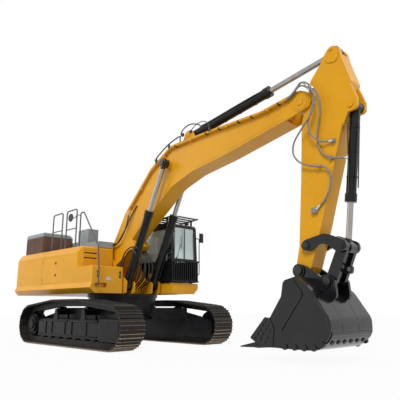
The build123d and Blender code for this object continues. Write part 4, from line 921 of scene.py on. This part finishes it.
screens = {
    "slats": 14, "slatIn": 0.06, "slatHalf": 0.006, "postIn": 0.03, "louvres": 12, "louvreIn": 0.25, "louvreTo": 0.75,
    "louvreHalf": 0.03, "louvreTall": 0.012,
    # x, y, radius, height
    "caps": [(-3.30, -1.10, 0.075, 0.07), (-3.75, -1.30, 0.04, 0.035), (-3.60, -1.30, 0.04, 0.035)]}


# The screen of the cooler's outer face, louvres over the engine lid's slots, caps on the cooler's lid
def grilles():
    low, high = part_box("cooler_block")
    form = bmesh.new()
    outside, half = low[1], screens["slatHalf"]
    inside = outside - half
    for index in range(screens["slats"]):
        span = high[2] - low[2] - 2 * screens["slatIn"]
        z = low[2] + screens["slatIn"] + span * index / (screens["slats"] - 1)
        roundedBox(form, (low[0] + screens["slatIn"], inside, z - half),
                   (high[0] - screens["slatIn"], outside + 0.004, z + half), 0.002, 1)
    edge = screens["postIn"]
    for x in (low[0] + edge, (low[0] + high[0]) / 2, high[0] - edge - 0.02):
        roundedBox(form, (x, inside - 0.004, low[2] + edge), (x + 0.02, outside + 0.004, high[2] - edge), 0.002, 1)
    makePiece("coolerScreen", form, "house", "brownDark", "brown")
    low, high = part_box("engine_lid")
    form = bmesh.new()
    edge, half = screens["louvreIn"], screens["louvreHalf"]
    for index in range(screens["louvres"]):
        x = low[0] + edge + (high[0] - low[0] - 2 * edge) * index / (screens["louvres"] - 1)
        roundedBox(form, (x - half, low[1] + edge, high[2]),
                   (x + half, low[1] + screens["louvreTo"], high[2] + screens["louvreTall"]), 0.004, 1)
    makePiece("engineLidLouvres", form, "engine_lid", "grey", "grey")
    form = bmesh.new()
    for x, y, radius, tall in screens["caps"]:
        hit = onSurface("cooler_lid", at(x, y, 4.4), (0, 0, -1))[0]
        if hit:
            rod(form, hit, hit + Vector((0, 0, tall)), radius, 28, radius * 0.8, edge=0.008)
    makePiece("coolerCaps", form, "cooler_lid", "grey", "grey")


grilles()

print("stage: cab")
doorLow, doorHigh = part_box("cab_door")
handleX, handleY, handleZ = doorHigh[0] - 0.10 - swingX, doorHigh[1], doorLow[2] + 0.62
pedalY = (1.16, 1.36)
assemble([
    ("frontGlassStrips", "house", *rubberFinish,
     [((1.61, 1.24, 2.62), (1.628, 1.27, 3.68), 0.003),
      *[((1.608, y, 2.66), (1.626, y + 0.02, 3.66), 0.003) for y in (0.805, 1.695)]], []),
    ("sunBand", "house", "bandDark", "black", [((1.465, 0.83, 3.46), (1.475, 1.69, 3.64), 0.003)], []),
    # its pivot, arm and blade
    ("wiper", "house", *rubberFinish, [],
     [((1.60, 0.92, 2.70), (1.634, 0.92, 2.70), 0.022, 20, 0.003),
      ((1.632, 0.92, 2.70), (1.614, 1.12, 3.20), 0.007, 10, 0.0),
      ((1.622, 1.12, 3.00), (1.60, 1.12, 3.42), 0.008, 8, 0.0)]),
    ("doorHandle", "cab_door", *rubberFinish,
     [((handleX - 0.07, handleY - 0.002, handleZ - 0.03), (handleX + 0.07, handleY + 0.012, handleZ + 0.03), 0.005),
      ((handleX - 0.05, handleY + 0.012, handleZ - 0.010), (handleX + 0.05, handleY + 0.026, handleZ + 0.010), 0.004)],
     []),
    # the display on its post, and two pedals with their levers
    ("cabControls", "house", "trim", "trim",
     [((1.42, 0.80, 2.72), (1.47, 1.00, 2.98), 0.012),
      *[((1.28, y - 0.05, 2.02), (1.46, y + 0.05, 2.05), 0.008) for y in pedalY]],
     [((1.44, 0.80, 2.50), (1.44, 0.88, 2.74), 0.012, 12, 0.0),
      *[((1.36, y, 2.05), (1.32, y, 2.52), 0.012, 12, 0.0) for y in pedalY],
      *[((1.32, y, 2.50), (1.31, y, 2.62), 0.022, 16, 0.008) for y in pedalY]])])

levers = {"x": 0.94, "in": 0.07, "z": 2.76, "knob": 0.032, "boot": (0.055, 20, 0.025)}


# Knobs and boots of the levers on the two consoles
def leverKnobs():
    low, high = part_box("console")
    form = bmesh.new()
    for side, label in bothSides:
        top = at(levers["x"], (low[1] + high[1]) / 2 + side * ((high[1] - low[1]) / 2 - levers["in"]), levers["z"])
        place = Matrix.Translation(top)
        bmesh.ops.create_uvsphere(form, u_segments=20, v_segments=12, radius=levers["knob"], matrix=place)
        rod(form, top - Vector((0.045, 0, 0.20)), top - Vector((0.035, 0, 0.13)), *levers["boot"])
    makePiece("leverKnobs", form, "house", "rubberBlack", "trim")


leverKnobs()

seat = {
    "crown": 0.20, "pinch": 0.035, "corner": 0.04, "channels": (-0.13, 0.13), "channelDeep": 0.10, "channelWide": 0.02,
    "cuts": 9, "fill": 0.7, "folds": 5, "foldTall": 0.045, "foldIn": 0.03,
    # name, low x and z, high x and z, in from the seat's sides, lean
    "pads": [
        ("seatCushion", (0.42, 2.302), (0.955, 2.432), 0.0, 0.0), ("seatBack", (0.36, 2.44), (0.47, 2.93), 0.02, 0.10),
        ("seatHead", (0.345, 2.94), (0.42, 3.05), None, 0.10)],
    "headHalf": 0.15}


# A stuffed pad: a grid-cut box whose faces swell and whose long sides pull in between the corners
def pad(name, low, high, lean):
    form = bmesh.new()
    low, high = Vector(low), Vector(high)
    middle, half = (low + high) / 2, (high - low) / 2
    bmesh.ops.create_cube(form, size=2)
    bmesh.ops.subdivide_edges(form, edges=form.edges[:], cuts=seat["cuts"], use_grid_fill=True)
    thin = min(range(3), key=lambda axis: half[axis])
    flats = [axis for axis in range(3) if axis != thin]
    for vert in form.verts:
        place = vert.co.copy()
        a, b = place[flats[0]], place[flats[1]]
        swell = (1 - a * a) * (1 - b * b)
        for axis, other in (flats, flats[::-1]):
            pinch = seat["pinch"] * (1 - place[other] ** 2)
            place[axis] *= 1 - pinch - seat["corner"] * abs(place[thin]) ** 4
        height = place[thin] * (1 - seat["crown"] + seat["crown"] * swell)
        across = place[1] * half[1]
        for channel in seat["channels"]:
            dip = math.exp(-((across - channel) / seat["channelWide"]) ** 2)
            height -= math.copysign(seat["channelDeep"], height) * dip * (thin != 1)
        place[thin] = height
        vert.co = Vector([place[axis] * half[axis] for axis in range(3)]) + middle
        vert.co.x -= lean * (vert.co.z - low.z)
    piece = makePiece(name, form, "house", "seat", "seat")
    soft = piece.modifiers.new("smooth", "SUBSURF")
    soft.levels = soft.render_levels = 1
    return piece


# The seat: a folded stand, cushion, back and head pad
def seatPieces():
    low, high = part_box("seat")
    middle = (low[1] + high[1]) / 2
    half = (high[1] - low[1]) / 2
    base = low[2]
    form = bmesh.new()

    def layer(x0, x1, inset, z0, z1, edge):
        roundedBox(form, at(x0, middle - half + inset, z0), at(x1, middle + half - inset, z1), edge)

    layer(0.47, 0.85, 0.08, base, base + 0.05, 0.01)
    for index in range(seat["folds"]):
        z = base + 0.05 + index * seat["foldTall"]
        inset = seat["foldIn"] if index % 2 else 0.0
        layer(0.50 + inset, 0.82 - inset, 0.10 + inset, z, z + seat["foldTall"], 0.016)
    layer(0.43, 0.93, 0.03, base + 0.275, 2.305, 0.012)
    pieces = [makePiece("seatStand", form, "house", "trim", "trim")]
    for name, (x0, z0), (x1, z1), inset, lean in seat["pads"]:
        reach = seat["headHalf"] if inset is None else half - inset
        pieces.append(pad(name, at(x0, middle - reach, z0), at(x1, middle + reach, z1), lean))
    for piece in pieces:
        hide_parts("seat")


seatPieces()
